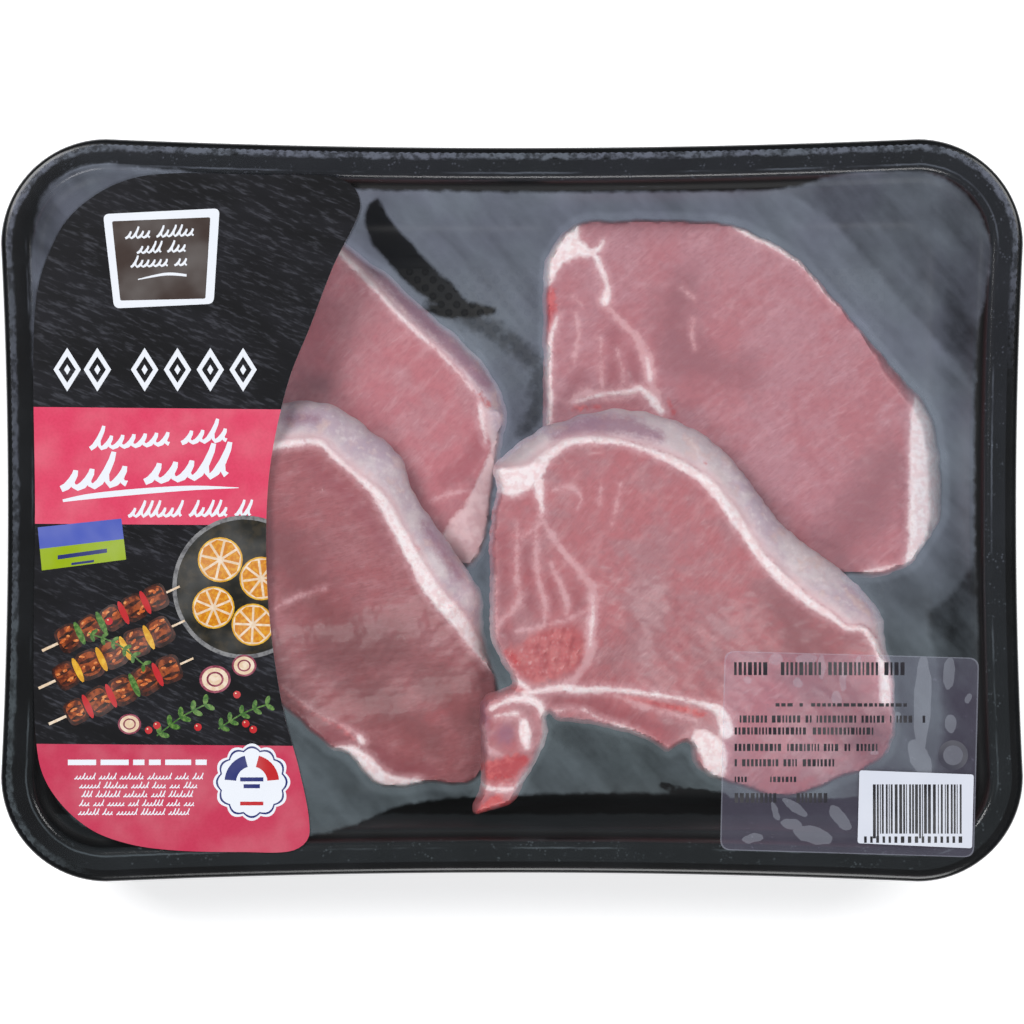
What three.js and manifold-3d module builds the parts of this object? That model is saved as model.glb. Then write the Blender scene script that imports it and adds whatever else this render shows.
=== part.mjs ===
// A sealed tray pack of four bone-in pork chops, in millimetres, +Z up.
// The origin is the middle of the tray's underside. +X runs along the tray and +Y across it.
// The chops overlap in two pairs on an absorbent pad, under a clear film sealed to the tray's rim.
import * as THREE from "three";
import { mergeVertices } from "three/addons/utils/BufferGeometryUtils.js";
import Module from "manifold-3d";

const wasm = await Module();
wasm.setup();

// Driving dimensions of the tray
const TRAY_LENGTH = 300;
const TRAY_WIDTH = 218;
const RIM_TOP = 41;
const CORNER_RADIUS = 31;
const SMALLEST_RADIUS = 5;
const END_BOW = 2;
const SIDE_BOW = 2.6;
const WALL = 1;
const CORNER_STEPS = 6;
const LONG_SIDE_STEPS = 6;
const SHORT_SIDE_STEPS = 4;

// The film and the labels on it
const FILM_EDGE_INSET = 2.4;
const SEAL_INSET = 8;
const FILM_GAP = 0.1;
const FILM_THICKNESS = 0.3;
const FILM_SAG = 2;
const SAG_POWER = 2.5;
const LABEL_GAP = 0.15;
const LABEL_THICKNESS = 0.2;
const LABEL_GRID = 18;
const LABEL_OUTLINE_STEP = 6;

// The pad and the chops
const PAD_LENGTH = 226;
const PAD_WIDTH = 147;
const PAD_THICKNESS = 1;
const PAD_CORNER = 4;
const FLOOR_TOP = 2.4;
const CONTACT_GAP = 0.3;
const PAD_BOTTOM = FLOOR_TOP + CONTACT_GAP;
const CHOP_BOTTOM = PAD_BOTTOM + PAD_THICKNESS + CONTACT_GAP;
const CHOP_THICKNESS = 16;
const CHOP_LIFT = CHOP_THICKNESS + 1;
const CHOP_OUTLINE_STEP = 5.6;
const CHOP_RINGS = [2.8, 8];
const CHOP_GRID = 13;
const GRID_ROW_SHARE = 0.87;
const GRID_JITTER = 0.2;
const RING_CLEARANCE = 0.93;
const EDGE_SHARE = 0.45;
const UNDERSIDE_ROUND = 6;
const UNDERSIDE_RISE = 5;
const BUMP_HEIGHT = 0.35;
const BUMP_LENGTH = 12;
const BUMP_DRIFT = 30;
const KERF = 0.3;
const KERF_STEP = 4;
const KERF_OVERRUN = 0.8;
const CUT_HEIGHT = 80;
const PROBE_WIDTH = 0.5;
const FAR_AWAY = 1e5;

const smooth = (t) => {
  const u = Math.min(1, Math.max(0, t));
  return u * u * (3 - 2 * u);
};

// A triangle list as a geometry.
function meshOf(points, triangles) {
  const geometry = new THREE.BufferGeometry();
  geometry.setAttribute("position", new THREE.Float32BufferAttribute(points.flat(), 3));
  geometry.setIndex(triangles.flat());
  geometry.computeVertexNormals();
  return geometry;
}

// A closed geometry as a solid for cutting.
function solidOf(geometry) {
  const bare = geometry.clone();
  bare.deleteAttribute("normal");
  bare.deleteAttribute("uv");
  const merged = mergeVertices(bare, 1e-4);
  return new wasm.Manifold(
    new wasm.Mesh({
      numProp: 3,
      vertProperties: merged.attributes.position.array,
      triVerts: new Uint32Array(merged.index.array),
    }),
  );
}

function geometryOf(solid) {
  const mesh = solid.getMesh();
  const geometry = new THREE.BufferGeometry();
  geometry.setAttribute("position", new THREE.BufferAttribute(mesh.vertProperties, 3));
  geometry.setIndex(new THREE.BufferAttribute(mesh.triVerts, 1));
  geometry.computeVertexNormals();
  return geometry;
}

function named(name, geometry, material) {
  const mesh = new THREE.Mesh(geometry, material);
  mesh.name = name;
  return mesh;
}

// Rings that follow the tray's outline

// One side between two corners: its inner points, bowed towards the middle of the tray.
function sidePoints(from, to, inward, bow, steps) {
  return Array.from({ length: steps - 1 }, (_, i) => {
    const t = (i + 1) / steps;
    const depth = bow * (1 - (2 * t - 1) ** 2);
    return [
      from[0] + (to[0] - from[0]) * t + inward[0] * depth,
      from[1] + (to[1] - from[1]) * t + inward[1] * depth,
    ];
  });
}

// A rounded rectangle, inset from the rim's outer edge, counterclockwise from the right-hand side.
function trayRing(inset, bowShare = 1) {
  const hx = TRAY_LENGTH / 2 - inset;
  const hy = TRAY_WIDTH / 2 - inset;
  const r = Math.max(CORNER_RADIUS - inset, SMALLEST_RADIUS);
  const corner = (k) => {
    const cx = (hx - r) * (k === 0 || k === 3 ? 1 : -1);
    const cy = (hy - r) * (k < 2 ? 1 : -1);
    return Array.from({ length: CORNER_STEPS + 1 }, (_, i) => {
      const angle = ((k + i / CORNER_STEPS) * Math.PI) / 2;
      return [cx + r * Math.cos(angle), cy + r * Math.sin(angle)];
    });
  };
  const corners = [0, 1, 2, 3].map(corner);
  const inward = [[0, -1], [1, 0], [0, 1], [-1, 0]];
  return corners.flatMap((points, k) => {
    const long = k % 2 === 0;
    const next = corners[(k + 1) % 4][0];
    const bow = (long ? SIDE_BOW : END_BOW) * bowShare;
    const steps = long ? LONG_SIDE_STEPS : SHORT_SIDE_STEPS;
    return [...points, ...sidePoints(points.at(-1), next, inward[k], bow, steps)];
  });
}

// A closed skin over rings of equal length, ended by a point at each end.
// The rings run from the underside's middle out to the edge and back over the top.
function ringSolid(rings, firstMiddle, lastMiddle) {
  const n = rings[0].length;
  const points = [...rings.flat(), firstMiddle, lastMiddle];
  const first = points.length - 2;
  const last = points.length - 1;
  const triangles = [];
  for (let i = 0; i < n; i++) {
    const j = (i + 1) % n;
    triangles.push([first, j, i]);
    for (let k = 0; k + 1 < rings.length; k++) {
      const a = k * n;
      const b = a + n;
      triangles.push([a + i, a + j, b + j], [a + i, b + j, b + i]);
    }
    triangles.push([last, (rings.length - 1) * n + i, (rings.length - 1) * n + j]);
  }
  return meshOf(points, triangles);
}

// The tray: a foot ring, a raised middle panel, drafted walls, a ledge, and a flat rim with a skirt.
// Each row is an inset from the outer edge, a height, and how much of the bow it has.
function trayGeometry() {
  const underside = [
    [70, FLOOR_TOP - WALL, 0.3],
    [33, FLOOR_TOP - WALL, 0.4],
    [30.5, 0, 0.4],
    [24, 0, 0.4],
    [21, 0.9, 0.4],
    [18.6, 3.6, 0.5],
    [17.4, 7.5, 0.5],
    [13.4, 35.4, 0.9],
    [10.2, 36.6, 0.9],
    [9.2, 39.4, 1],
    [8.1, RIM_TOP - WALL, 1],
    [2.2, RIM_TOP - WALL, 1],
    [WALL, 38.9, 1],
    [WALL, 36, 1],
  ];
  const upperside = [
    [0, 36, 1],
    [0, 39.6, 1],
    [0.7, 40.6, 1],
    [2.2, RIM_TOP, 1],
    [8.6, RIM_TOP, 1],
    [9.8, 39.8, 1],
    [10.8, 37.7, 1],
    [14.2, 36.6, 0.9],
    [18.4, 7.7, 0.5],
    [19.5, 4.2, 0.5],
    [21.6, 2, 0.4],
    [24.6, 1.2, 0.4],
    [29.8, 1.2, 0.4],
    [32.4, FLOOR_TOP, 0.4],
    [70, FLOOR_TOP, 0.3],
  ];
  const rings = [...underside, ...upperside].map(([inset, z, bowShare]) =>
    trayRing(inset, bowShare).map(([x, y]) => [x, y, z]),
  );
  return ringSolid(rings, [0, 0, FLOOR_TOP - WALL], [0, 0, FLOOR_TOP]);
}

// The underside of the film: flat on the rim, and sagging a little towards the middle.
function filmHeight(x, y) {
  const hx = TRAY_LENGTH / 2 - SEAL_INSET - END_BOW - 1;
  const hy = TRAY_WIDTH / 2 - SEAL_INSET - SIDE_BOW - 1;
  const along = 1 - Math.min(1, Math.abs(x) / hx) ** SAG_POWER;
  const across = 1 - Math.min(1, Math.abs(y) / hy) ** SAG_POWER;
  return RIM_TOP + FILM_GAP - FILM_SAG * along * across;
}

function filmGeometry() {
  const insets = [76, 48, 28, 15, SEAL_INSET, FILM_EDGE_INSET];
  const ring = (inset, lift) =>
    trayRing(inset).map(([x, y]) => [x, y, filmHeight(x, y) + lift]);
  const rings = [
    ...insets.map((inset) => ring(inset, 0)),
    ...insets.toReversed().map((inset) => ring(inset, FILM_THICKNESS)),
  ];
  const middle = filmHeight(0, 0);
  return ringSolid(rings, [0, 0, middle], [0, 0, middle + FILM_THICKNESS]);
}

// Slabs of any outline

// A smooth closed outline through [x, y, shoulder] points, at even steps.
function smoothOutline(points, step) {
  const through = points.map(([x, y, shoulder = 1]) => new THREE.Vector3(x, y, shoulder));
  const curve = new THREE.CatmullRomCurve3(through, true, "centripetal");
  const spaced = curve.getSpacedPoints(Math.round(curve.getLength() / step)).slice(0, -1);
  if (THREE.ShapeUtils.isClockWise(spaced)) spaced.reverse();
  return spaced.map((p) => [p.x, p.y, p.z]);
}

function inside(outline, x, y) {
  let within = false;
  outline.forEach(([ax, ay], i) => {
    const [bx, by] = outline[(i + 1) % outline.length];
    if (ay > y !== by > y && x < ax + ((y - ay) / (by - ay)) * (bx - ax)) within = !within;
  });
  return within;
}

// How far a point is from the outline, and the shoulder's width at the nearest place on it.
function edgeAt(outline, x, y) {
  let best = { distance: Infinity, shoulder: 1 };
  outline.forEach(([ax, ay, as], i) => {
    const [bx, by, bs] = outline[(i + 1) % outline.length];
    const length2 = (bx - ax) ** 2 + (by - ay) ** 2;
    const along = ((x - ax) * (bx - ax) + (y - ay) * (by - ay)) / length2;
    const t = Math.min(1, Math.max(0, along));
    const distance = Math.hypot(ax + t * (bx - ax) - x, ay + t * (by - ay) - y);
    if (distance < best.distance) best = { distance, shoulder: as + t * (bs - as) };
  });
  return best;
}

// The outline's points, rings of points inside it, and a grid in its middle.
function pointsIn(outline, rings, grid) {
  const points = outline.map(([x, y]) => [x, y]);
  for (const depth of rings) {
    outline.forEach(([x, y], i) => {
      const [ax, ay] = outline.at(i - 1);
      const [bx, by] = outline[(i + 1) % outline.length];
      const length = Math.hypot(bx - ax, by - ay);
      const px = x - ((by - ay) / length) * depth;
      const py = y + ((bx - ax) / length) * depth;
      const clear = edgeAt(outline, px, py).distance > depth * RING_CLEARANCE;
      if (clear && inside(outline, px, py)) points.push([px, py]);
    });
  }
  const reach = (rings.at(-1) ?? 0) + grid / 2;
  const xs = outline.map((p) => p[0]);
  const ys = outline.map((p) => p[1]);
  let row = 0;
  for (let y = Math.min(...ys); y < Math.max(...ys); y += grid * GRID_ROW_SHARE) {
    row += 1;
    for (let x = Math.min(...xs) + ((row % 2) * grid) / 2; x < Math.max(...xs); x += grid) {
      const px = x + GRID_JITTER * Math.sin(5 * y + x);
      const py = y + GRID_JITTER * Math.cos(3 * x + y);
      if (inside(outline, px, py) && edgeAt(outline, px, py).distance > reach) points.push([px, py]);
    }
  }
  return points;
}

// Delaunay triangles of points in the plane, counterclockwise, by inserting one point at a time.
function delaunay(points) {
  const all = [...points, [-FAR_AWAY, -FAR_AWAY], [FAR_AWAY, -FAR_AWAY], [0, FAR_AWAY]];
  const n = points.length;
  const circle = (a, b, c) => {
    const [ax, ay] = all[a];
    const bx = all[b][0] - ax;
    const by = all[b][1] - ay;
    const cx = all[c][0] - ax;
    const cy = all[c][1] - ay;
    const d = 2 * (bx * cy - by * cx);
    const ux = (cy * (bx * bx + by * by) - by * (cx * cx + cy * cy)) / d;
    const uy = (bx * (cx * cx + cy * cy) - cx * (bx * bx + by * by)) / d;
    return { corners: [a, b, c], x: ax + ux, y: ay + uy, r2: ux * ux + uy * uy };
  };
  let triangles = [circle(n, n + 1, n + 2)];
  points.forEach(([x, y], p) => {
    const hit = (t) => (t.x - x) ** 2 + (t.y - y) ** 2 < t.r2;
    const edges = new Map();
    for (const t of triangles.filter(hit)) {
      t.corners.forEach((a, i) => {
        const b = t.corners[(i + 1) % 3];
        if (!edges.delete(`${b},${a}`)) edges.set(`${a},${b}`, [a, b]);
      });
    }
    const fresh = [...edges.values()].map(([a, b]) => circle(a, b, p));
    triangles = [...triangles.filter((t) => !hit(t)), ...fresh];
  });
  return triangles.map((t) => t.corners).filter((t) => t.every((i) => i < n));
}

// A closed slab over an outline, between two heights that are functions of x, y and the nearest edge.
function slabGeometry(outline, rings, grid, bottom, top) {
  const flat = pointsIn(outline, rings, grid);
  const centre = (t, axis) => (flat[t[0]][axis] + flat[t[1]][axis] + flat[t[2]][axis]) / 3;
  const faces = delaunay(flat).filter((t) => inside(outline, centre(t, 0), centre(t, 1)));
  const edges = flat.map(([x, y]) => edgeAt(outline, x, y));
  const n = flat.length;
  const points = [
    ...flat.map(([x, y], i) => [x, y, top(x, y, edges[i])]),
    ...flat.map(([x, y], i) => [x, y, bottom(x, y, edges[i])]),
  ];
  const walls = new Map();
  for (const t of faces) {
    t.forEach((a, i) => {
      const b = t[(i + 1) % 3];
      if (!walls.delete(`${b},${a}`)) walls.set(`${a},${b}`, [a, b]);
    });
  }
  const triangles = faces.flatMap(([a, b, c]) => [[a, b, c], [n + a, n + c, n + b]]);
  for (const [a, b] of walls.values()) triangles.push([a, n + a, n + b], [a, n + b, b]);
  return meshOf(points, triangles);
}

// The chops

// A thin upright sheet along a smooth line, as a kerf between two muscles.
// It runs a little past both ends, so that it cuts through the seam that it meets there.
function kerfSolid(line) {
  const through = line.map(([x, y]) => new THREE.Vector3(x, y, 0));
  const past = (end, before) => end.clone().sub(before).setLength(KERF_OVERRUN).add(end);
  through.unshift(past(through[0], through[1]));
  through.push(past(through.at(-1), through.at(-2)));
  const curve = new THREE.CatmullRomCurve3(through, false, "centripetal");
  const steps = Math.max(2, Math.round(curve.getLength() / KERF_STEP));
  const sides = [KERF / 2, -KERF / 2].map((offset) =>
    Array.from({ length: steps + 1 }, (_, i) => {
      const p = curve.getPointAt(i / steps);
      const t = curve.getTangentAt(i / steps);
      return new THREE.Vector2(p.x - t.y * offset, p.y + t.x * offset);
    }),
  );
  const shape = new THREE.Shape([...sides[1], ...sides[0].reverse()]);
  const sheet = new THREE.ExtrudeGeometry(shape, { depth: CUT_HEIGHT, bevelEnabled: false });
  sheet.translate(0, 0, -CUT_HEIGHT / 2);
  return solidOf(sheet);
}

// A chop's rounded slab, raised by its lift where it lies on its neighbour.
function chopSolid({ outline, lift }) {
  const edge = smoothOutline(outline, CHOP_OUTLINE_STEP);
  const bump = (x, y) =>
    BUMP_HEIGHT *
    Math.sin(x / BUMP_LENGTH + y / BUMP_DRIFT) *
    Math.cos(y / BUMP_LENGTH - x / BUMP_DRIFT);
  const top = (x, y, { distance, shoulder }) => {
    const u = Math.min(1, distance / shoulder);
    const round = 0.5 * u + 0.5 * Math.sqrt(1 - (1 - u) ** 2);
    const thickness = CHOP_THICKNESS * (EDGE_SHARE + (1 - EDGE_SHARE) * round);
    return lift(x, y) + thickness + bump(x, y) * u;
  };
  const bottom = (x, y, { distance }) =>
    lift(x, y) + UNDERSIDE_RISE * (1 - Math.min(1, distance / UNDERSIDE_ROUND)) ** 2;
  return solidOf(slabGeometry(edge, CHOP_RINGS, CHOP_GRID, bottom, top));
}

// Parts a chop along its seams and names each part by a point that lies in it.
function chopMeshes(name, chop) {
  let solid = chopSolid(chop);
  for (const seam of chop.seams) solid = solid.subtract(kerfSolid(seam));
  const bodies = solid.decompose();
  const probe = new THREE.BoxGeometry(PROBE_WIDTH, PROBE_WIDTH, CUT_HEIGHT);
  return Object.entries(chop.parts).map(([part, [look, x, y]]) => {
    const column = solidOf(probe.clone().translate(x, y, 0));
    const body = bodies.find((b) => b.intersect(column).volume() > PROBE_WIDTH);
    return named(`${name}_${part}`, geometryOf(body), materials[look]);
  });
}

const materials = {
  tray: new THREE.MeshStandardMaterial({ color: 0x16181b, roughness: 0.35 }),
  pad: new THREE.MeshStandardMaterial({ color: 0x2a2d30, roughness: 0.8 }),
  lean: new THREE.MeshStandardMaterial({ color: 0xc27c80, roughness: 0.45 }),
  fat: new THREE.MeshStandardMaterial({ color: 0xdcc8c4, roughness: 0.5 }),
  bone: new THREE.MeshStandardMaterial({ color: 0xb8484a, roughness: 0.5 }),
  film: new THREE.MeshStandardMaterial({
    color: 0xc4ccd4,
    roughness: 0.1,
    transparent: true,
    opacity: 0.25,
  }),
  label: new THREE.MeshStandardMaterial({ color: 0x1c1d20, roughness: 0.4 }),
  clearLabel: new THREE.MeshStandardMaterial({
    color: 0x9a8fa6,
    roughness: 0.2,
    transparent: true,
    opacity: 0.4,
  }),
  whiteLabel: new THREE.MeshStandardMaterial({ color: 0xe8eaf2, roughness: 0.4 }),
};

const flatLift = () => 0;

// A ramp from 0 to 1 along a direction, between two distances from the origin.
const ramp = ([nx, ny], from, to) => (x, y) => smooth((nx * x + ny * y - from) / (to - from));

// Outlines are [x, y, shoulder]. A wide shoulder is the fat side, which slopes down from the cut face.
const FAT_SIDE = 12;
const THIN_SIDE = 6.5;
const PLAIN_SIDE = 3;

const backLeft = {
  outline: [
    [-13, -18, PLAIN_SIDE],
    [-10, -16, PLAIN_SIDE],
    [-8, -10, PLAIN_SIDE],
    [-6.5, -1, PLAIN_SIDE],
    [-4.5, 12.5, PLAIN_SIDE],
    [-3, 20.5, PLAIN_SIDE],
    [-1, 28.5, PLAIN_SIDE],
    [-2, 33.5, THIN_SIDE],
    [-7, 42.5, THIN_SIDE],
    [-14.5, 51, THIN_SIDE],
    [-21, 56.5, THIN_SIDE],
    [-28.5, 63, THIN_SIDE],
    [-37.5, 71.5, THIN_SIDE],
    [-44, 76, THIN_SIDE],
    [-50, 81, THIN_SIDE],
    [-58, 86, THIN_SIDE],
    [-70, 87, PLAIN_SIDE],
    [-85, 84, PLAIN_SIDE],
    [-98, 74, PLAIN_SIDE],
    [-107, 58, PLAIN_SIDE],
    [-109, 40, PLAIN_SIDE],
    [-102, 24, PLAIN_SIDE],
    [-86, 13, PLAIN_SIDE],
    [-64, 4, PLAIN_SIDE],
    [-46, -4, PLAIN_SIDE],
    [-30, -12, PLAIN_SIDE],
    [-20, -17, PLAIN_SIDE],
  ],
  lift: flatLift,
  seams: [
    [
      [-75, 98],
      [-64, 86],
      [-52, 77.5],
      [-42.5, 68],
      [-31.5, 56],
      [-19, 45],
      [-11.5, 35.5],
      [-9.5, 31],
      [-8, 22],
      [-7.5, 15.5],
      [-10.5, 9],
      [-14.5, -0.5],
      [-21, -7],
      [-33, -22],
    ],
  ],
  parts: {
    lean: ["lean", -50, 40],
    fat: ["fat", -24, 53.5],
  },
};

const FRONT_LEFT_RIB_END = [-45.5, -68.5];
const frontLeft = {
  outline: [
    [-68, 32.5, FAT_SIDE],
    [-56.5, 32.5, FAT_SIDE],
    [-51, 30.5, FAT_SIDE],
    [-44.5, 26, FAT_SIDE],
    [-33.5, 17, FAT_SIDE],
    [-28.5, 5, FAT_SIDE],
    [-21, -6, FAT_SIDE],
    [-12.6, -18, FAT_SIDE],
    [-8.6, -25, FAT_SIDE],
    [-8.2, -31, 9],
    [-7.6, -38.5, 6],
    [-4.8, -45.5, PLAIN_SIDE],
    [-3, -51, PLAIN_SIDE],
    [-2.5, -60, PLAIN_SIDE],
    [-4, -72, PLAIN_SIDE],
    [-8.5, -80, PLAIN_SIDE],
    [-13, -83.5, PLAIN_SIDE],
    [-20.5, -83, PLAIN_SIDE],
    [-27, -83, PLAIN_SIDE],
    [-34.5, -84.5, PLAIN_SIDE],
    [-41, -83, PLAIN_SIDE],
    [-45.5, -79, PLAIN_SIDE],
    [-49, -74.5, PLAIN_SIDE],
    [-55, -72, PLAIN_SIDE],
    [-62, -66, PLAIN_SIDE],
    [-70, -59, PLAIN_SIDE],
    [-85, -51, PLAIN_SIDE],
    [-100, -40, PLAIN_SIDE],
    [-112, -20, PLAIN_SIDE],
    [-114, 0, PLAIN_SIDE],
    [-106, 18, FAT_SIDE],
    [-92, 28, FAT_SIDE],
    [-80, 32, FAT_SIDE],
  ],
  lift: (x, y) => CHOP_LIFT * ramp([-0.25, 0.97], -54, -12)(x, y),
  seams: [
    [
      [-130, -2],
      [-108, 9],
      [-88, 17],
      [-70, 19],
      [-57, 20],
      [-52.5, 16],
      [-39, 4],
      [-33.5, -6],
      [-29, -14.5],
      [-24, -24],
      [-16.5, -33],
      [-11, -41.5],
      [-5.5, -49],
      [3, -58],
    ],
    [
      [-96, -53],
      [-84, -46],
      [-70.5, -50],
      [-66, -55],
      [-57.5, -61.5],
      [-50, -65],
      FRONT_LEFT_RIB_END,
      [-41, -74],
      [-37, -78.5],
      [-31, -79.5],
      [-24, -81.5],
      [-17, -92],
    ],
    [FRONT_LEFT_RIB_END, [-48, -72], [-53, -84]],
  ],
  parts: {
    lean: ["lean", -60, -15],
    fat: ["fat", -38, 14],
    belly: ["bone", -58, -66],
    tail_fat: ["fat", -43.5, -76.5],
  },
};

const BACK_RIGHT_CORNER = [22.5, 77];
const BACK_RIGHT_SPINE = [42.5, 36.5];
const backRight = {
  outline: [
    [13.5, 82, PLAIN_SIDE],
    [18.5, 86.5, PLAIN_SIDE],
    [24, 88, PLAIN_SIDE],
    [36.5, 88.2, PLAIN_SIDE],
    [50, 88.2, PLAIN_SIDE],
    [66, 86.6, PLAIN_SIDE],
    [75.5, 82.5, PLAIN_SIDE],
    [87.5, 75, PLAIN_SIDE],
    [96, 65.5, PLAIN_SIDE],
    [106, 54, PLAIN_SIDE],
    [115.5, 42.5, 4],
    [123.5, 34, 5],
    [127.5, 26.5, 5],
    [129.5, 14, 5],
    [129.8, 2, 5],
    [128.6, -4.5, 4],
    [125.5, -9, PLAIN_SIDE],
    [121.5, -15.5, PLAIN_SIDE],
    [113, -20, PLAIN_SIDE],
    [102.5, -20.5, PLAIN_SIDE],
    [88, -18, PLAIN_SIDE],
    [72, -12, PLAIN_SIDE],
    [55, -4, PLAIN_SIDE],
    [40, 4, PLAIN_SIDE],
    [28, 9, PLAIN_SIDE],
    [15, 11, PLAIN_SIDE],
    [9.4, 16, PLAIN_SIDE],
    [9, 25.5, PLAIN_SIDE],
    [9, 42.5, PLAIN_SIDE],
    [9, 56, PLAIN_SIDE],
    [9, 69, PLAIN_SIDE],
    [10, 76, PLAIN_SIDE],
  ],
  lift: flatLift,
  seams: [
    [
      [58, 98],
      [66, 84.5],
      [75, 80],
      [87.5, 72],
      [97, 60.5],
      [106, 50],
      [114, 39.5],
      [118.4, 32],
      [118.8, 24],
      [118.5, 15.5],
      [119.6, 1.5],
      [120.8, -8.5],
      [125, -22],
    ],
    [[21, 98], [22, 86], BACK_RIGHT_CORNER, [18, 75], [15.5, 71], [13, 68], [-1, 67.4]],
    [
      BACK_RIGHT_CORNER,
      [27, 75],
      [28.5, 66.5],
      [30, 58.5],
      [36.5, 52],
      [40.5, 44],
      BACK_RIGHT_SPINE,
      [45, 27],
      [43, 12],
      [38, -8],
    ],
    [[-2, 33.5], [9, 33.5], [18, 33.5], [27, 33.5], [36, 35], BACK_RIGHT_SPINE],
  ],
  parts: {
    eye: ["lean", 75, 40],
    side_muscle: ["lean", 18, 55],
    fat: ["fat", 124, 12],
    corner_fat: ["fat", 15, 78],
    vertebra: ["bone", 25, 22],
  },
};

const FRONT_RIGHT_FORK = [8, 5];
const FRONT_RIGHT_NECK = [7.6, -53.6];
const FRONT_RIGHT_SPINE = [23, -35];
const FRONT_RIGHT_HEEL = [20.5, -52.6];
const FRONT_RIGHT_RIB_START = [29, -53.2];
const FRONT_RIGHT_RIB_LOW = [55, -63];
const FRONT_RIGHT_RIB_END = [61.5, -59.4];
const overBackRight = ramp([0.348, 0.937], -50, 8);
const overFrontLeft = ramp([-1, 0], -50, -2);
const frontRight = {
  outline: [
    [-6, 12.5, PLAIN_SIDE],
    [-5, 6, PLAIN_SIDE],
    [-6.5, -2.5, PLAIN_SIDE],
    [-7, -14.5, PLAIN_SIDE],
    [-7, -31.5, PLAIN_SIDE],
    [-6, -39.5, PLAIN_SIDE],
    [-3, -46, PLAIN_SIDE],
    [-0.8, -49.4, PLAIN_SIDE],
    [-0.4, -51.2, PLAIN_SIDE],
    [-3.5, -53, PLAIN_SIDE],
    [-9, -55.5, PLAIN_SIDE],
    [-9.8, -62, PLAIN_SIDE],
    [-9.6, -72, PLAIN_SIDE],
    [-10, -83, PLAIN_SIDE],
    [-12, -88, PLAIN_SIDE],
    [-11, -90.2, PLAIN_SIDE],
    [-5.5, -89.4, PLAIN_SIDE],
    [1, -86, PLAIN_SIDE],
    [4.6, -79.6, PLAIN_SIDE],
    [8.4, -73, PLAIN_SIDE],
    [11, -66, PLAIN_SIDE],
    [10.8, -60.6, PLAIN_SIDE],
    [12.6, -58, PLAIN_SIDE],
    [17.5, -59, PLAIN_SIDE],
    [24.5, -61.5, PLAIN_SIDE],
    [30, -65.5, PLAIN_SIDE],
    [37, -67.5, PLAIN_SIDE],
    [43, -70.5, PLAIN_SIDE],
    [48, -72.5, PLAIN_SIDE],
    [53, -70.5, PLAIN_SIDE],
    [54.5, -76.5, PLAIN_SIDE],
    [60, -81, PLAIN_SIDE],
    [70, -84.5, PLAIN_SIDE],
    [78.5, -87, PLAIN_SIDE],
    [88, -86, PLAIN_SIDE],
    [98, -81.5, PLAIN_SIDE],
    [108, -77.5, PLAIN_SIDE],
    [113.5, -71.5, PLAIN_SIDE],
    [115, -60.5, PLAIN_SIDE],
    [113.5, -48, PLAIN_SIDE],
    [111.5, -40, 4],
    [109.5, -30.5, 8],
    [104.5, -24, 10],
    [96.5, -16.5, FAT_SIDE],
    [88, -10.5, FAT_SIDE],
    [80, -3.5, FAT_SIDE],
    [71.5, 7.5, FAT_SIDE],
    [66, 14.5, FAT_SIDE],
    [60.5, 20, FAT_SIDE],
    [54, 24.5, FAT_SIDE],
    [43.5, 28.5, FAT_SIDE],
    [31.5, 30.5, FAT_SIDE],
    [22.5, 29, FAT_SIDE],
    [8.5, 24.5, FAT_SIDE],
    [-1, 18, 6],
  ],
  lift: (x, y) => CHOP_LIFT * (1 - (1 - overBackRight(x, y)) * (1 - overFrontLeft(x, y))),
  seams: [
    [
      [-16, 4],
      [-5, 4.5],
      [2, 4.6],
      FRONT_RIGHT_FORK,
      [11.5, 13.5],
      [16.5, 18],
      [22.5, 19.4],
      [31, 19],
      [39.5, 17],
      [48, 13.5],
      [57, 8],
      [62, 2],
      [72.5, -13.5],
      [79.5, -21],
      [87, -27.5],
      [98.5, -36],
      [103, -36.5],
      [107, -41],
      [109.5, -50],
      [110, -60],
      [107, -69],
      [99, -76],
      [92, -80],
      [84, -98],
    ],
    [
      FRONT_RIGHT_FORK,
      [9, -1],
      [10, -4.5],
      [13.5, -10.5],
      [18, -17.5],
      [22.5, -20.5],
      [24, -26.5],
      FRONT_RIGHT_SPINE,
      [23, -42.5],
      [21.5, -48],
      FRONT_RIGHT_HEEL,
    ],
    [[-16, -43], [-4.8, -40], [0.6, -34.5], [7.5, -34.5], [15.6, -32.5], FRONT_RIGHT_SPINE],
    [[-9, -49], [-1, -51.6], FRONT_RIGHT_NECK, [11.4, -58.4], [13, -66]],
    [
      FRONT_RIGHT_NECK,
      [14, -52],
      FRONT_RIGHT_HEEL,
      FRONT_RIGHT_RIB_START,
      [36, -53.6],
      [42, -54.5],
      [54.5, -57],
      FRONT_RIGHT_RIB_END,
      [66.5, -66],
      [68, -75],
      [69, -98],
    ],
    [FRONT_RIGHT_RIB_START, [36, -57.5], [47.5, -60.5], FRONT_RIGHT_RIB_LOW, FRONT_RIGHT_RIB_END],
    [FRONT_RIGHT_RIB_LOW, [53.5, -66], [50, -82]],
  ],
  parts: {
    eye: ["lean", 60, -25],
    side_muscle: ["lean", 5, -15],
    fat: ["fat", 58, 15],
    vertebra: ["bone", 8, -43],
    spine_tip: ["bone", 0, -70],
    rib: ["bone", 46, -58],
    belly: ["lean", 35, -63],
    tail_fat: ["fat", 60, -72],
  },
};

// Labels and the pad

// A label lies on the film, `layer` labels up.
function labelGeometry(outline, layer) {
  const above = FILM_THICKNESS + LABEL_GAP + layer * (LABEL_GAP + LABEL_THICKNESS);
  const bottom = (x, y) => filmHeight(x, y) + above;
  const top = (x, y) => bottom(x, y) + LABEL_THICKNESS;
  return slabGeometry(outline, [], LABEL_GRID, bottom, top);
}

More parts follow.
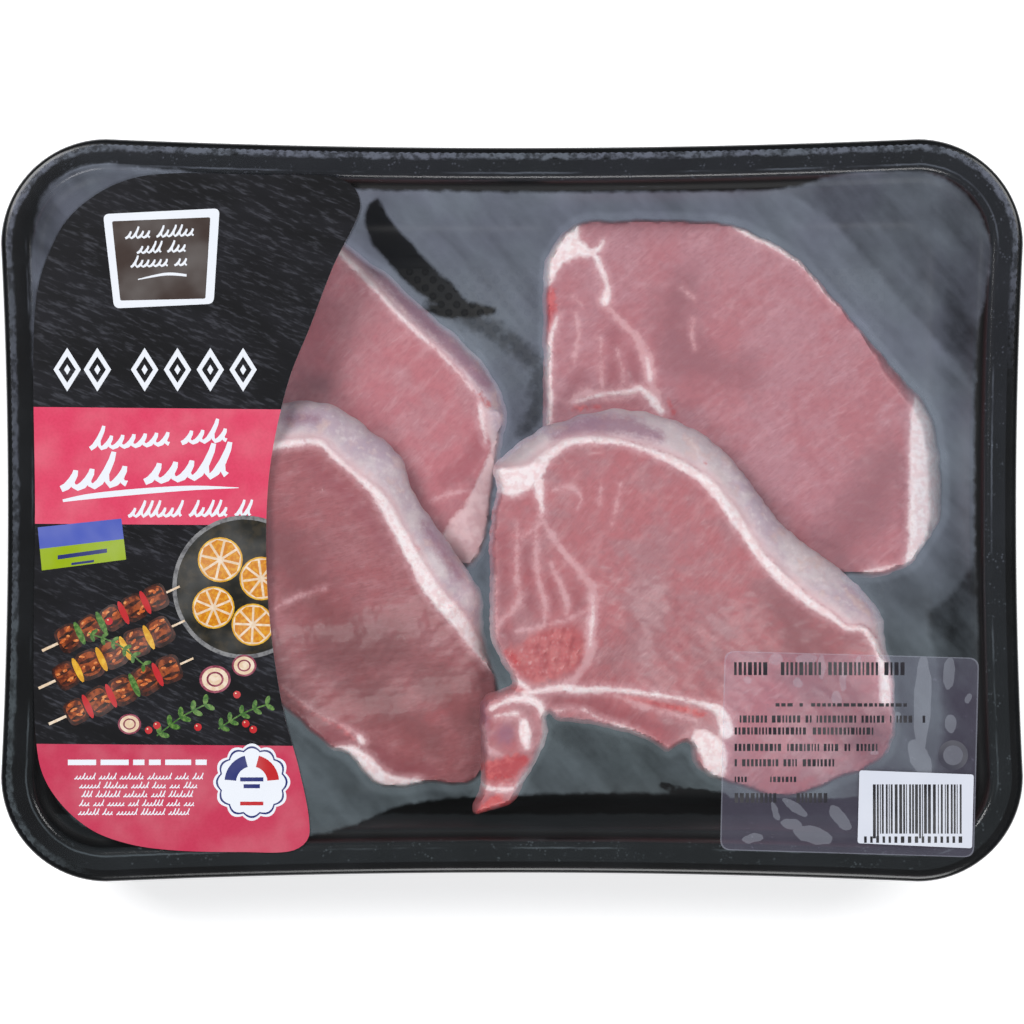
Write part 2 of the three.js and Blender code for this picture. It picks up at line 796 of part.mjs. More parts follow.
// A four-cornered outline with rounded corners, counterclockwise.
function roundedCorners(corners, radius) {
  const steps = 3;
  return corners.flatMap((corner, i) => {
    const here = new THREE.Vector2(...corner);
    const before = new THREE.Vector2(...corners.at(i - 1)).sub(here).setLength(radius).add(here);
    const after = new THREE.Vector2(...corners[(i + 1) % corners.length]).sub(here);
    after.setLength(radius).add(here);
    const bend = new THREE.QuadraticBezierCurve(before, here, after);
    return bend.getPoints(steps).map((p) => [p.x, p.y, 1]);
  });
}

// The printed label covers the left of the film: its left follows the tray, its right is waisted.
const PRINTED_LABEL = [
  [-139, 63.5],
  [-134.6, 77.3],
  [-129.7, 85.6],
  [-121.4, 92.6],
  [-111.7, 97],
  [-100, 98.6],
  [-75, 98.2],
  [-51, 97.3],
  [-46.2, 94.4],
  [-44.4, 89.4],
  [-45.8, 84.6],
  [-52, 72.3],
  [-59.4, 53.2],
  [-65.3, 38.5],
  [-70.6, 15],
  [-72, -2.6],
  [-71.7, -23.2],
  [-70, -40.9],
  [-66.7, -60],
  [-62.3, -76.1],
  [-59.4, -90.8],
  [-59.7, -96.1],
  [-63.6, -99.4],
  [-80, -100],
  [-100.5, -99.4],
  [-112.3, -97.6],
  [-122.6, -93.8],
  [-131.4, -86.6],
  [-137.2, -77.6],
  [-139.4, -65.9],
  [-139.6, 0],
].reverse();

const CLEAR_LABEL = [[60.9, -99.4], [135.2, -101.6], [136.7, -43.2], [62.3, -41.2]];
const CLEAR_LABEL_CORNER = 3;
const BARCODE_LABEL = [[101.1, -97.4], [134.6, -98.9], [135.1, -77.3], [101.7, -76.1]];
const BARCODE_LABEL_CORNER = 0.8;

function padGeometry() {
  const corners = [[-1, -1], [1, -1], [1, 1], [-1, 1]];
  const half = corners.map(([x, y]) => [(x * PAD_LENGTH) / 2, (y * PAD_WIDTH) / 2]);
  const outline = roundedCorners(half, PAD_CORNER).map(([x, y]) => new THREE.Vector2(x, y));
  const options = { depth: PAD_THICKNESS, bevelEnabled: false };
  return new THREE.ExtrudeGeometry(new THREE.Shape(outline), options);
}

const pad = named("absorbent_pad", padGeometry(), materials.pad);
pad.position.z = PAD_BOTTOM;

const food = new THREE.Group();
food.position.z = CHOP_BOTTOM;
food.add(
  ...chopMeshes("back_left", backLeft),
  ...chopMeshes("front_left", frontLeft),
  ...chopMeshes("back_right", backRight),
  ...chopMeshes("front_right", frontRight),
);

const printed = labelGeometry(smoothOutline(PRINTED_LABEL, LABEL_OUTLINE_STEP), 0);
const clear = labelGeometry(roundedCorners(CLEAR_LABEL, CLEAR_LABEL_CORNER), 0);
const barcode = labelGeometry(roundedCorners(BARCODE_LABEL, BARCODE_LABEL_CORNER), 1);

const group = new THREE.Group();
group.add(
  named("tray", trayGeometry(), materials.tray),
  pad,
  food,
  named("top_film", filmGeometry(), materials.film),
  named("printed_label", printed, materials.label),
  named("clear_label", clear, materials.clearLabel),
  named("barcode_label", barcode, materials.whiteLabel),
);

export default group;
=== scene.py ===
# %% [markdown]
# # A sealed tray of pork chops
# The pack is a black plastic tray with four chops on a dotted pad, a film welded over its rim, and
# three labels on the film. The frame holds the sizes: every piece here is built in millimetres in
# the frame's own axes and then scaled to metres, so nothing has to be fitted afterwards.

# %% Load the frame
import math
import random
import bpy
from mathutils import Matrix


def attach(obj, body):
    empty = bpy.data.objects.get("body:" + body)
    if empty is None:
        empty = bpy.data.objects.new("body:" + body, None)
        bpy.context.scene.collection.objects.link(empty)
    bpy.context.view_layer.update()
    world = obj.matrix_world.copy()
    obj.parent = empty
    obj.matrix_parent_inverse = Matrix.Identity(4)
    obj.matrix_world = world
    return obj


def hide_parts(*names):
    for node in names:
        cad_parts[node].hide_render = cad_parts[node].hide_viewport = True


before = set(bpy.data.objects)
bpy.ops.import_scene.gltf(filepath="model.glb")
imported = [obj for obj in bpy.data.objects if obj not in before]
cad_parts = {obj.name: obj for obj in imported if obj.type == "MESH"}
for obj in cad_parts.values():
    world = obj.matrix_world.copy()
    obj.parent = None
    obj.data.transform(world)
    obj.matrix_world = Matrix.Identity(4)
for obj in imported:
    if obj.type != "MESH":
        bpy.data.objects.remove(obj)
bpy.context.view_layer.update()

from types import SimpleNamespace

import bpy
import numpy as np
from mathutils import Vector
from mathutils.geometry import delaunay_2d_cdt

MM = 0.001


# %% [markdown]
# ## Shader maths as Python
# A node tree is a program drawn as boxes. It reads better as an expression, so this small class
# wraps one output socket and turns +, - and * into Math nodes. Everything that isn't
# arithmetic comes from `node`, which takes the node's type, its settings and its sockets.

# %% Wrap a socket
class Wire:
    """One output of a node tree. Arithmetic on it adds Math nodes to the tree."""

    def __init__(self, tree, socket=None):
        self.tree = tree
        self.socket = socket

    def node(self, kind, settings=None, sockets=None, output=0):
        """A new node of the tree: settings first, then values or links of its sockets."""
        made = self.tree.nodes.new(kind)
        for key, value in (settings or {}).items():
            setattr(made, key, value)
        for key, value in (sockets or {}).items():
            if isinstance(value, Wire):
                self.tree.links.new(value.socket, made.inputs[key])
            else:
                made.inputs[key].default_value = value
        return Wire(self.tree, made.outputs[output] if len(made.outputs) else None)

    def math(self, operation, *others):
        sockets = dict(enumerate((self,) + others))
        return self.node("ShaderNodeMath", {"operation": operation}, sockets)

    def __add__(self, other):
        return self.math("ADD", other)

    def __sub__(self, other):
        return self.math("SUBTRACT", other)

    def __rsub__(self, other):
        return self.node("ShaderNodeMath", {"operation": "SUBTRACT"}, {0: other, 1: self})

    def __mul__(self, other):
        return self.math("MULTIPLY", other)

    __radd__ = __add__
    __rmul__ = __mul__


# %% [markdown]
# Colours are given as a screen shows them, from 0 to 255. A socket wants light, which isn't the
# same scale, so `rgb` undoes the screen's curve. `smooth` is a soft step between two values,
# and is the tool that turns a distance in millimetres into a soft-edged mask.

# %% Colours, masks and textures
def rgb(red, green, blue):
    """A colour as a screen shows it, turned into the light that a socket wants."""
    shares = [v / 255 for v in (red, green, blue)]
    return (*(s / 12.92 if s <= 0.04045 else ((s + 0.055) / 1.055) ** 2.4 for s in shares), 1.0)


def smooth(value, low, high):
    """0 below low, 1 above high, and a soft step between."""
    sockets = {"Value": value, "From Min": low, "From Max": high}
    return value.node("ShaderNodeMapRange", {"interpolation_type": "SMOOTHSTEP"}, sockets)


def blend(factor, first, second):
    """Colour first where the factor is 0, second where it is 1."""
    sockets = {0: factor, 6: first, 7: second}
    return factor.node("ShaderNodeMix", {"data_type": "RGBA"}, sockets, output=2)


def place(paint):
    """The point on the piece, in millimetres."""
    point = paint.node("ShaderNodeTexCoord", output=3)
    return paint.node("ShaderNodeVectorMath", {"operation": "SCALE"}, {0: point, "Scale": 1 / MM}, 0)


def stretched(point, angle, scale):
    """The point turned about Z by an angle in degrees and scaled by three numbers."""
    settings = {"vector_type": "POINT"}
    sockets = {"Vector": point, "Rotation": (0, 0, math.radians(angle))}
    turned = point.node("ShaderNodeMapping", settings, sockets)
    return point.node("ShaderNodeVectorMath", {"operation": "MULTIPLY"}, {0: turned, 1: scale})


def noise(point, scale, detail=3.0, roughness=0.55):
    """Cloudy noise from 0 to 1, with `scale` lumps to the millimetre."""
    sockets = {"Vector": point, "Scale": scale, "Detail": detail, "Roughness": roughness}
    return point.node("ShaderNodeTexNoise", None, sockets)


def field(paint, name):
    """A number that the mesh carries on its points."""
    return paint.node("ShaderNodeAttribute", {"attribute_name": name}, output=2)


def bump(height, strength, distance):
    """A normal from a height, with the distance in millimetres."""
    sockets = {"Height": height, "Strength": strength, "Distance": distance * MM}
    return height.node("ShaderNodeBump", None, sockets)


def new_paint(name):
    """An empty material and a wire to build its nodes with."""
    made = bpy.data.materials.new(name)
    made.use_nodes = True
    made.node_tree.nodes.clear()
    return made, Wire(made.node_tree)


def finish(paint, shader):
    """Links a shader to the material's output."""
    paint.node("ShaderNodeOutputMaterial", None, {"Surface": shader})


def finish_principled(paint, look):
    """Ends a material with one Principled shader of these sockets."""
    finish(paint, paint.node("ShaderNodeBsdfPrincipled", None, look))


# %% [markdown]
# ## Lines, fields and closed slabs
# Meat, film and labels are all flat things with a wandering outline. One way would be to model each
# by hand. Here each is a closed curve through a few measured points, filled with fine triangles
# and raised by a height function. The mesh also carries fields, which are distances to seams and
# spots in millimetres. A distance stays smooth between points, so a shader can draw a crisp line
# from it that is finer than the mesh.

# %% Smooth lines
FAR_OUTSIDE = -30.0


def length_along(line):
    """How far along a line each of its points lies."""
    return np.concatenate([[0], np.cumsum(np.linalg.norm(np.diff(line[:, :2], axis=0), axis=1))])


def smooth_line(points, step, closed):
    """Even points along a smooth line through `points`; further columns follow along."""
    points = np.asarray(points, float)
    count = len(points)
    dense = []
    for i in range(count if closed else count - 1):
        near = [i - 1, i, i + 1, i + 2]
        four = points[[k % count if closed else min(max(k, 0), count - 1) for k in near]]
        gaps = np.sqrt(np.linalg.norm(np.diff(four[:, :2], axis=0), axis=1))
        gaps = np.maximum(gaps, 1e-4 + gaps[1] * (gaps < 1e-4))
        before = (four[1] - four[0]) / gaps[0] - (four[2] - four[0]) / (gaps[0] + gaps[1])
        after = (four[3] - four[2]) / gaps[2] - (four[3] - four[1]) / (gaps[1] + gaps[2])
        along = (four[2] - four[1]) / gaps[1]
        start, end = (before + along) * gaps[1], (after + along) * gaps[1]
        t = np.linspace(0, 1, 16, endpoint=False)[:, None]
        dense.append(
            (2 * t**3 - 3 * t**2 + 1) * four[1]
            + (t**3 - 2 * t**2 + t) * start
            + (3 * t**2 - 2 * t**3) * four[2]
            + (t**3 - t**2) * end
        )
    dense = np.vstack(dense + [points[:1] if closed else points[-1:]])
    run = length_along(dense)
    steps = max(3, round(run[-1] / step))
    marks = np.linspace(0, run[-1], steps + 1)
    even = np.column_stack([np.interp(marks, run, column) for column in dense.T])
    return even[:-1] if closed else even


def counterclockwise(loop):
    """The same loop, turned round if it runs clockwise."""
    x, y = loop[:, 0], loop[:, 1]
    area = np.sum(x * np.roll(y, -1) - np.roll(x, -1) * y)
    return loop if area > 0 else loop[::-1]


def outward(loop):
    """The direction out of a counterclockwise loop at each of its points."""
    ahead = np.roll(loop[:, :2], -1, 0) - np.roll(loop[:, :2], 1, 0)
    return np.column_stack([ahead[:, 1], -ahead[:, 0]]) / np.linalg.norm(ahead, axis=1)[:, None]


def inside(points, loop):
    """Which points lie in a closed loop."""
    x, y = points[:, 0], points[:, 1]
    within = np.zeros(len(points), bool)
    for (ax, ay), (bx, by) in zip(loop[:, :2], np.roll(loop[:, :2], -1, 0)):
        if ay != by:
            within ^= ((ay > y) != (by > y)) & (x < ax + (y - ay) / (by - ay) * (bx - ax))
    return within


def from_segment(points, a, b):
    """Distance to a straight stretch, and how far along it the closest spot is, from 0 to 1."""
    run = b[:2] - a[:2]
    away = points - a[:2]
    t = np.clip(away @ run / max(run @ run, 1e-9), 0, 1)
    return np.hypot(*(away - t[:, None] * run).T), t


def nearest(points, line, closed=False):
    """Distance to a line, the line's third column there, and which side the point is on."""
    ends = np.roll(line, -1, 0) if closed else line[1:]
    distance = np.full(len(points), np.inf)
    carried = np.zeros(len(points))
    side = np.zeros(len(points))
    for a, b in zip(line, ends):
        far, t = from_segment(points, a, b)
        closer = far < distance
        distance[closer] = far[closer]
        if len(a) > 2:
            carried[closer] = (a[2] + t * (b[2] - a[2]))[closer]
        run, away = b[:2] - a[:2], points - a[:2]
        side[closer] = np.sign(run[0] * away[:, 1] - run[1] * away[:, 0])[closer]
    return distance, carried, side


def stroke_depth(points, strokes, step=1.0):
    """How deep each point lies in the deepest stroke. A stroke is [x, y, half width] points."""
    depth = np.full(len(points), FAR_OUTSIDE)
    for stroke in strokes:
        line = np.asarray(stroke, float)
        if len(line) == 1:
            line = np.vstack([line, line + [0.01, 0, 0]])
        line = smooth_line(line, step, False) if len(line) > 2 else line
        for a, b in zip(line, line[1:]):
            far, t = from_segment(points, a, b)
            depth = np.maximum(depth, a[2] + t * (b[2] - a[2]) - far)
    return depth


def soft(value, low, high):
    """The same soft step as `smooth`, on arrays."""
    t = np.clip((value - low) / (high - low), 0, 1)
    return t * t * (3 - 2 * t)


# %% Meshes
SHARPEST_SMOOTH = 50.0


def filled(loop, inner):
    """Fine triangles between a loop and points inside it."""
    points = [Vector(p) for p in np.vstack([loop[:, :2], inner])]
    edges = [(i, (i + 1) % len(loop)) for i in range(len(loop))]
    flat, _, faces, *_ = delaunay_2d_cdt(points, edges, [], 1, 1e-6)
    return np.array([tuple(v) for v in flat]), np.array([tuple(f) for f in faces])


def rim_of(faces):
    """The edges that only one triangle uses, in that triangle's direction."""
    edges = np.vstack([faces[:, [0, 1]], faces[:, [1, 2]], faces[:, [2, 0]]])
    used = {tuple(e) for e in edges.tolist()}
    return np.array([e for e in used if (e[1], e[0]) not in used])


def lattice(loop, pitch, margin):
    """Points on a triangular lattice inside a loop, at least `margin` from it."""
    low, high = loop[:, :2].min(0), loop[:, :2].max(0)
    rows = np.arange(low[1], high[1], pitch * math.sqrt(0.75))
    points = np.vstack(
        [
            np.column_stack([xs, np.full(len(xs), y)])
            for k, y in enumerate(rows)
            for xs in [np.arange(low[0] + (k % 2) * pitch / 2, high[0], pitch)]
        ]
    )
    points = points[inside(points, loop)]
    return points[nearest(points, loop, True)[0] > margin]


def piece(name, points, faces, materials, replaced=(), fields=None, inks=None):
    """A mesh object from millimetre points, riding on the frame and replacing its nodes."""
    mesh = bpy.data.meshes.new(name)
    mesh.from_pydata((np.asarray(points) * MM).tolist(), [], [list(map(int, f)) for f in faces])
    for key, values in (fields or {}).items():
        mesh.attributes.new(key, "FLOAT", "POINT").data.foreach_set("value", np.ravel(values))
    for made in materials:
        mesh.materials.append(made)
    if inks is not None:
        mesh.polygons.foreach_set("material_index", inks)
    mesh.polygons.foreach_set("use_smooth", [True] * len(faces))
    mesh.update()
    mesh.set_sharp_from_angle(angle=math.radians(SHARPEST_SMOOTH))
    made = bpy.data.objects.new(name, mesh)
    bpy.context.scene.collection.objects.link(made)
    if replaced:
        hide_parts(*replaced)
    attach(made, "root")
    print(f"{name}: {len(points)} points, {len(faces)} faces")
    return made


def two_sided(flat, faces, bottom, top):
    """Points and faces of a closed slab between two heights over the same triangles."""
    count = len(flat)
    points = np.vstack([np.column_stack([flat, top]), np.column_stack([flat, bottom])])
    rim = rim_of(faces)
    walls = np.vstack(
        [
            np.column_stack([rim[:, 0], rim[:, 0] + count, rim[:, 1] + count]),
            np.column_stack([rim[:, 0], rim[:, 1] + count, rim[:, 1]]),
        ]
    )
    return points, np.vstack([faces, faces[:, ::-1] + count, walls])


# %% [markdown]
# ## Studio
# The camera looks straight down, with the tray's rim a metre away. A rim 300 mm long has to
# fill the picture, which gives the lens. The light is a pale sky and three large soft boxes, so the
# black plastic shows long soft reflections. The floor is plain and glows a little, like a light
# table, so the tray's shadow on it stays pale.

# %% Camera, floor and light
RIM_TOP = 41.0
CAMERA_ABOVE_RIM = 1.0
VIEW_WIDTH = 0.2999
SENSOR = 36.0

scene = bpy.context.scene
camera_data = bpy.data.cameras.new("camera")
camera_data.sensor_width = SENSOR
camera_data.lens = SENSOR * CAMERA_ABOVE_RIM / VIEW_WIDTH
camera_data.clip_start = 0.05
camera = bpy.data.objects.new("camera", camera_data)
camera.location = (0, -0.0005, CAMERA_ABOVE_RIM + RIM_TOP * MM)
scene.collection.objects.link(camera)
scene.camera = camera
scene.view_settings.view_transform = "Standard"

FLOOR = 4.0
floor_mesh = bpy.data.meshes.new("floor")
floor_corners = [(-FLOOR, -FLOOR, 0), (FLOOR, -FLOOR, 0), (FLOOR, FLOOR, 0), (-FLOOR, FLOOR, 0)]
floor_mesh.from_pydata(floor_corners, [], [(0, 1, 2, 3)])
floor = bpy.data.objects.new("floor", floor_mesh)
scene.collection.objects.link(floor)
floor_paint, paint = new_paint("floor")
floor_look = {
    "Base Color": rgb(250, 250, 251),
    "Roughness": 0.9,
    "Specular IOR Level": 0.1,
    "Emission Color": rgb(250, 250, 251),
    "Emission Strength": 0.42,
}
finish_principled(paint, floor_look)
floor_mesh.materials.append(floor_paint)

SKY_STRENGTH = 0.16
SOFT_BOX_SIZE = 1.1
sky = bpy.data.worlds.new("sky")
sky.use_nodes = True
sky.node_tree.nodes["Background"].inputs["Color"].default_value = (0.95, 0.98, 1.0, 1.0)
sky.node_tree.nodes["Background"].inputs["Strength"].default_value = SKY_STRENGTH
scene.world = sky


def soft_box(name, spot, watts):
    """A square area light that looks at the tray."""
    data = bpy.data.lights.new(name, "AREA")
    data.shape = "SQUARE"
    data.size = SOFT_BOX_SIZE
    data.energy = watts
    made = bpy.data.objects.new(name, data)
    made.location = spot
    made.rotation_euler = (-Vector(spot)).to_track_quat("-Z", "Y").to_euler()
    scene.collection.objects.link(made)


soft_box("back_left", (-1.25, 1.05, 2.1), 40)
soft_box("back_right", (1.5, 1.0, 1.9), 25)
soft_box("front", (0.3, -1.7, 1.8), 28)
print(f"camera: {camera_data.lens:.1f} mm lens, lights: {len(bpy.data.lights)}")


# %% [markdown]
# ## The tray
# A tray like this is one sheet of plastic, heated and sucked into a mould. So it is one skin with a
# constant wall: a foot ring, a drafted wall, a ledge, a flat rim that the film is welded to, and a
# skirt. The rim's sides bow inwards a little. It is built as rings of the same outline, each at its
# own inset and height. Cutting the corners of that profile twice gives the mould's small radii.

# %% Tray outline
TRAY_LENGTH = 300.0
TRAY_WIDTH = 218.0
CORNER_RADIUS = 31.0
SMALLEST_RADIUS = 5.0
END_BOW = 2.0
SIDE_BOW = 2.6
FLOOR_TOP = 2.4
WALL = 1.0


def tray_ring(inset, bow_share=1.0, corner_steps=24, side_steps=30):
    """The tray's outline, inset from its outer edge, counterclockwise."""
    half = np.array([TRAY_LENGTH, TRAY_WIDTH]) / 2 - inset
    radius = max(CORNER_RADIUS - inset, SMALLEST_RADIUS)
    ring = []
    for k, (sx, sy) in enumerate([(1, 1), (-1, 1), (-1, -1), (1, -1)]):
        angles = (k + np.linspace(0, 1, corner_steps + 1)) * math.pi / 2
        centre = (half - radius) * [sx, sy]
        corner = centre + radius * np.column_stack([np.cos(angles), np.sin(angles)])
        tx, ty = [(-1, 1), (-1, -1), (1, -1), (1, 1)][k]
        next_corner = (half - radius) * [tx, ty]
        out = np.array([math.cos((k + 1) * math.pi / 2), math.sin((k + 1) * math.pi / 2)])
        end = next_corner + radius * out
        bow = (SIDE_BOW if k % 2 == 0 else END_BOW) * bow_share
        t = np.arange(1, side_steps)[:, None] / side_steps
        side = corner[-1] + (end - corner[-1]) * t - out * bow * (1 - (2 * t - 1) ** 2)
        ring += [corner, side]
    return np.vstack(ring)


def cut_corners(rows):
    """The same line with each corner cut off at a quarter of its sides."""
    rows = np.asarray(rows, float)
    near, far = rows[:-1] * 0.75 + rows[1:] * 0.25, rows[:-1] * 0.25 + rows[1:] * 0.75
    return np.vstack([rows[:1], np.stack([near, far], 1).reshape(-1, rows.shape[1]), rows[-1:]])


# %% [markdown]
# Black plastic isn't black all over: the flat rim keeps the sheet's gloss, and the wall and floor
# that were drawn into the mould are duller. So two plastics are mixed by the height, their
# roughness drifts with cloudy noise, and a faint bump bends the reflections.

# %% Tray plastic
def tray_plastic():
    """Black plastic, glossy on the rim and duller where it was drawn into the mould."""
    made, paint = new_paint("tray_plastic")
    point = place(paint)
    height = paint.node("ShaderNodeSeparateXYZ", None, {"Vector": point}, output=2)
    clouds = noise(point, 0.05)
    normal = bump(noise(point, 0.4, 2.0) + 2.0 * clouds, 0.12, 0.12)
    colour = blend(smooth(clouds, 0.35, 0.7), rgb(8, 9, 11), rgb(16, 18, 21))
    rim, drawn = (
        paint.node("ShaderNodeBsdfPrincipled", None, {**look, "Base Color": colour, "Normal": normal})
        for look in (
            {"Roughness": 0.14 + 0.1 * clouds, "Specular IOR Level": 0.4},
            {"Roughness": 0.42 + 0.1 * clouds, "Specular IOR Level": 0.2},
        )
    )
    share = smooth(height, 37.6, 40.0)
    finish(paint, paint.node("ShaderNodeMixShader", None, {0: share, 1: drawn, 2: rim}))
    return made


# %% Tray shell
UNDERSIDE = [
    (70, FLOOR_TOP - WALL, 0.3), (33, FLOOR_TOP - WALL, 0.4), (30.5, 0, 0.4), (24, 0, 0.4),
    (21, 0.9, 0.4), (18.6, 3.6, 0.5), (17.4, 7.5, 0.5), (13.4, 35.4, 0.9), (10.2, 36.6, 0.9),
    (9.2, 39.4, 1), (8.1, RIM_TOP - WALL, 1), (2.2, RIM_TOP - WALL, 1), (WALL, 38.9, 1), (WALL, 36, 1),
]
UPPERSIDE = [
    (0, 36, 1), (0, 39.6, 1), (0.7, 40.6, 1), (2.2, RIM_TOP, 1), (8.6, RIM_TOP, 1), (9.8, 39.8, 1),
    (10.8, 37.7, 1), (14.2, 36.6, 0.9), (18.4, 7.7, 0.5), (19.5, 4.2, 0.5), (21.6, 2, 0.4),
    (24.6, 1.2, 0.4), (29.8, 1.2, 0.4), (32.4, FLOOR_TOP, 0.4), (70, FLOOR_TOP, 0.3),
]


def ring_skin(profile, first_middle, last_middle):
    """A closed skin over rings of the tray's outline, with a point at each end."""
    rings = [np.column_stack([r, np.full(len(r), z)]) for r, z in profile]
    count = len(rings[0])
    points = np.vstack(rings + [[first_middle], [last_middle]])
    i = np.arange(count)
    j = (i + 1) % count
    faces = []
    for k in range(len(rings) - 1):
        a, b = k * count, (k + 1) * count
        faces += np.column_stack([a + i, a + j, b + j, b + i]).tolist()
    first, last = len(points) - 2, len(points) - 1
    end = (len(rings) - 1) * count
    faces += np.column_stack([np.full(count, first), j, i]).tolist()
    faces += np.column_stack([np.full(count, last), end + i, end + j]).tolist()
    return points, faces


tray_rows = np.vstack([cut_corners(cut_corners(UNDERSIDE)), cut_corners(cut_corners(UPPERSIDE))])
tray_profile = [(tray_ring(inset, share), z) for inset, z, share in tray_rows]
tray_points, tray_faces = ring_skin(tray_profile, (0, 0, FLOOR_TOP - WALL), (0, 0, FLOOR_TOP))
piece("tray_shell", tray_points, tray_faces, [tray_plastic()], ["tray"])


# %% [markdown]
# ## The pad
# Under the meat lies a dark sheet that soaks up liquid. Its face is embossed with rows of small
# rings, half a pitch apart in every other row. Rings this small are a bump, with painted shade
# darkening their grooves, but the sheet itself is a mesh that waves a little and has soft edges.

# %% Pad
PAD_LENGTH = 226.0
PAD_WIDTH = 147.0
PAD_BOTTOM = FLOOR_TOP + 0.3
PAD_THICKNESS = 1.0
RING_PITCH = 4.8
RING_ROW = 5.0
RING_RADIUS = 0.85
PAD_WAVE = 0.12
PAD_EDGE_DROP = 0.5


def pad_paper():
    """Dark paper with two sets of embossed rings, one between the other, darkened as painted shade."""
    made, paint = new_paint("pad_paper")
    point = place(paint)
    rows = []
    for shift in (0.0, 0.5):
        cell = paint.node(
            "ShaderNodeVectorMath",
            {"operation": "MULTIPLY_ADD"},
            {0: point, 1: (1 / RING_PITCH, 1 / RING_ROW, 0), 2: (shift, shift, 0)},
        )
        middle = paint.node("ShaderNodeVectorMath", {"operation": "FRACTION"}, {0: cell})
        spread = paint.node(
            "ShaderNodeVectorMath",
            {"operation": "MULTIPLY_ADD"},
            {0: middle, 1: (RING_PITCH, RING_ROW, 0), 2: (-RING_PITCH / 2, -RING_ROW / 2, 0)},
        )
        far = paint.node("ShaderNodeVectorMath", {"operation": "LENGTH"}, {0: spread}, output=1)
        ring = 1 - smooth((far - RING_RADIUS).math("ABSOLUTE"), 0.1, 0.5)
        rows.append(ring.math("MAXIMUM", (1 - smooth(far, 0.6, 1.2)) * 0.75))
    rings = rows[0].math("MAXIMUM", rows[1])
    stain = noise(point, 0.06)
    paper = blend(smooth(stain, 0.35, 0.65), rgb(31, 33, 35), rgb(39, 39, 38))
    # Painted shade: the embossed rings and their middle dots are darkened almost to black.
    colour = blend(rings * 0.95, paper, rgb(6, 7, 8))
    look = {
        "Base Color": colour,
        "Roughness": 0.6,
        "Specular IOR Level": 0.15,
        "Normal": bump(noise(point, 1.5) - rings, 0.4, 0.3),
    }
    finish_principled(paint, look)
    return made


pad_half = np.array([PAD_LENGTH, PAD_WIDTH]) / 2
pad_corners = np.array([(-1, -1), (0, -1), (1, -1), (1, 0), (1, 1), (0, 1), (-1, 1), (-1, 0)])
pad_loop = np.vstack(
    [
        np.linspace(pad_half * a, pad_half * b, 30, endpoint=False)
        for a, b in zip(pad_corners, np.roll(pad_corners, -1, 0))
    ]
)
pad_flat, pad_faces = filled(pad_loop, lattice(pad_loop, 3.0, 1.5))
pad_edge = nearest(pad_flat, pad_loop, True)[0]
pad_wave = PAD_WAVE * np.sin(pad_flat[:, 0] / 9) * np.cos(pad_flat[:, 1] / 7)
pad_top = PAD_BOTTOM + PAD_THICKNESS - 0.15 - PAD_EDGE_DROP * (1 - soft(pad_edge, 0, 2)) + pad_wave
pad_points, pad_all = two_sided(pad_flat, pad_faces, np.full(len(pad_flat), PAD_BOTTOM), pad_top)
piece("dotted_pad", pad_points, pad_all, [pad_paper()], ["absorbent_pad"])


# %% [markdown]
# ## The chops
# A chop is a slab of muscle with a flat cut face. Its rind side slopes away as a band of fat, a
# white seam runs between fat and muscle, and a rib and a piece of backbone close the other side.
# The two front chops lie on the two back ones, so each slab is lifted by a smooth ramp.
#
# Every tissue is drawn as strokes, which are lines with a half width, and the mesh carries how deep
# each point lies in them. The same depths raise the relief: gristle stands up, the muscles swell
# between the seams, and the sawn bone is pitted. The crevices between the muscles are darkened as
# painted shade.

# %% Chop shape
CHOP_BOTTOM = PAD_BOTTOM + PAD_THICKNESS + 0.3
CHOP_THICKNESS = 16.0
CHOP_LIFT = CHOP_THICKNESS + 1
EDGE_SHARE = 0.45
UNDERSIDE_ROUND = 6.0
UNDERSIDE_RISE = 5.0
MESH_PITCH = 0.8
FAT_SIDE = 12.0
THIN_SIDE = 6.5
PLAIN_SIDE = 1.7
# The dark strokes mark crevices: the relief sinks there, and the lean is darkened there as painted shade.
TISSUES = ["white", "flap", "veins", "blood", "bone", "dark", "deep", "plum"]
EDGE_RAGGED = 0.35
GRISTLE_RISE = 0.3
CREVICE_DROP = 0.22
OCTAVES = 3
WAVES_EACH = 3
LENGTH_FALL = 1.9
HEIGHT_FALL = 1.7


def outline(*runs):
    """[x, y, width of the sloping side] points from runs of points that share a width."""
    return [(x, y, side) for side, points in runs for x, y in points]


def ramp(direction, low, high):
    """A lift from 0 to 1 along a direction."""
    return lambda points: soft(points @ np.array(direction, float), low, high)


def on_the_pad(points):
    """The lift of a chop that lies on the pad: none."""
    return np.zeros(len(points))


def wobble(points, size, length, seed):
    """A smooth random height: a few sine waves in random directions."""
    draw = random.Random(seed)
    total = np.zeros(len(points))
    for octave in range(OCTAVES):
        for _ in range(WAVES_EACH):
            angle, phase = draw.uniform(0, math.tau), draw.uniform(0, math.tau)
            reach = length / LENGTH_FALL**octave
            along = points @ np.array([math.cos(angle), math.sin(angle)])
            wave = np.sin(along * math.tau / reach + phase)
            total += size / HEIGHT_FALL**octave * wave / WAVES_EACH
    return total


def ragged_loop(corners, seed):
    """A chop's outline as fine points, frayed a little inwards and outwards."""
    loop = counterclockwise(smooth_line(corners, MESH_PITCH, True))
    frayed = wobble(loop[:, :2], EDGE_RAGGED, 9.0, seed)
    loop[:, :2] += outward(loop) * (frayed - EDGE_RAGGED)[:, None]
    return loop


def tissue_fields(flat, edge, seam, strokes):
    """What the material reads: depths in the strokes, side of the seam, distance to the edge."""
    fields = {key: stroke_depth(flat, strokes.get(key, [])) for key in TISSUES}
    fields["side"] = np.full(len(flat), FAR_OUTSIDE)
    if seam is not None:
        far, _, side = nearest(flat, smooth_line(seam, 1.0, False))
        fields["side"] = far * side
    fields["edge"] = edge
    return fields


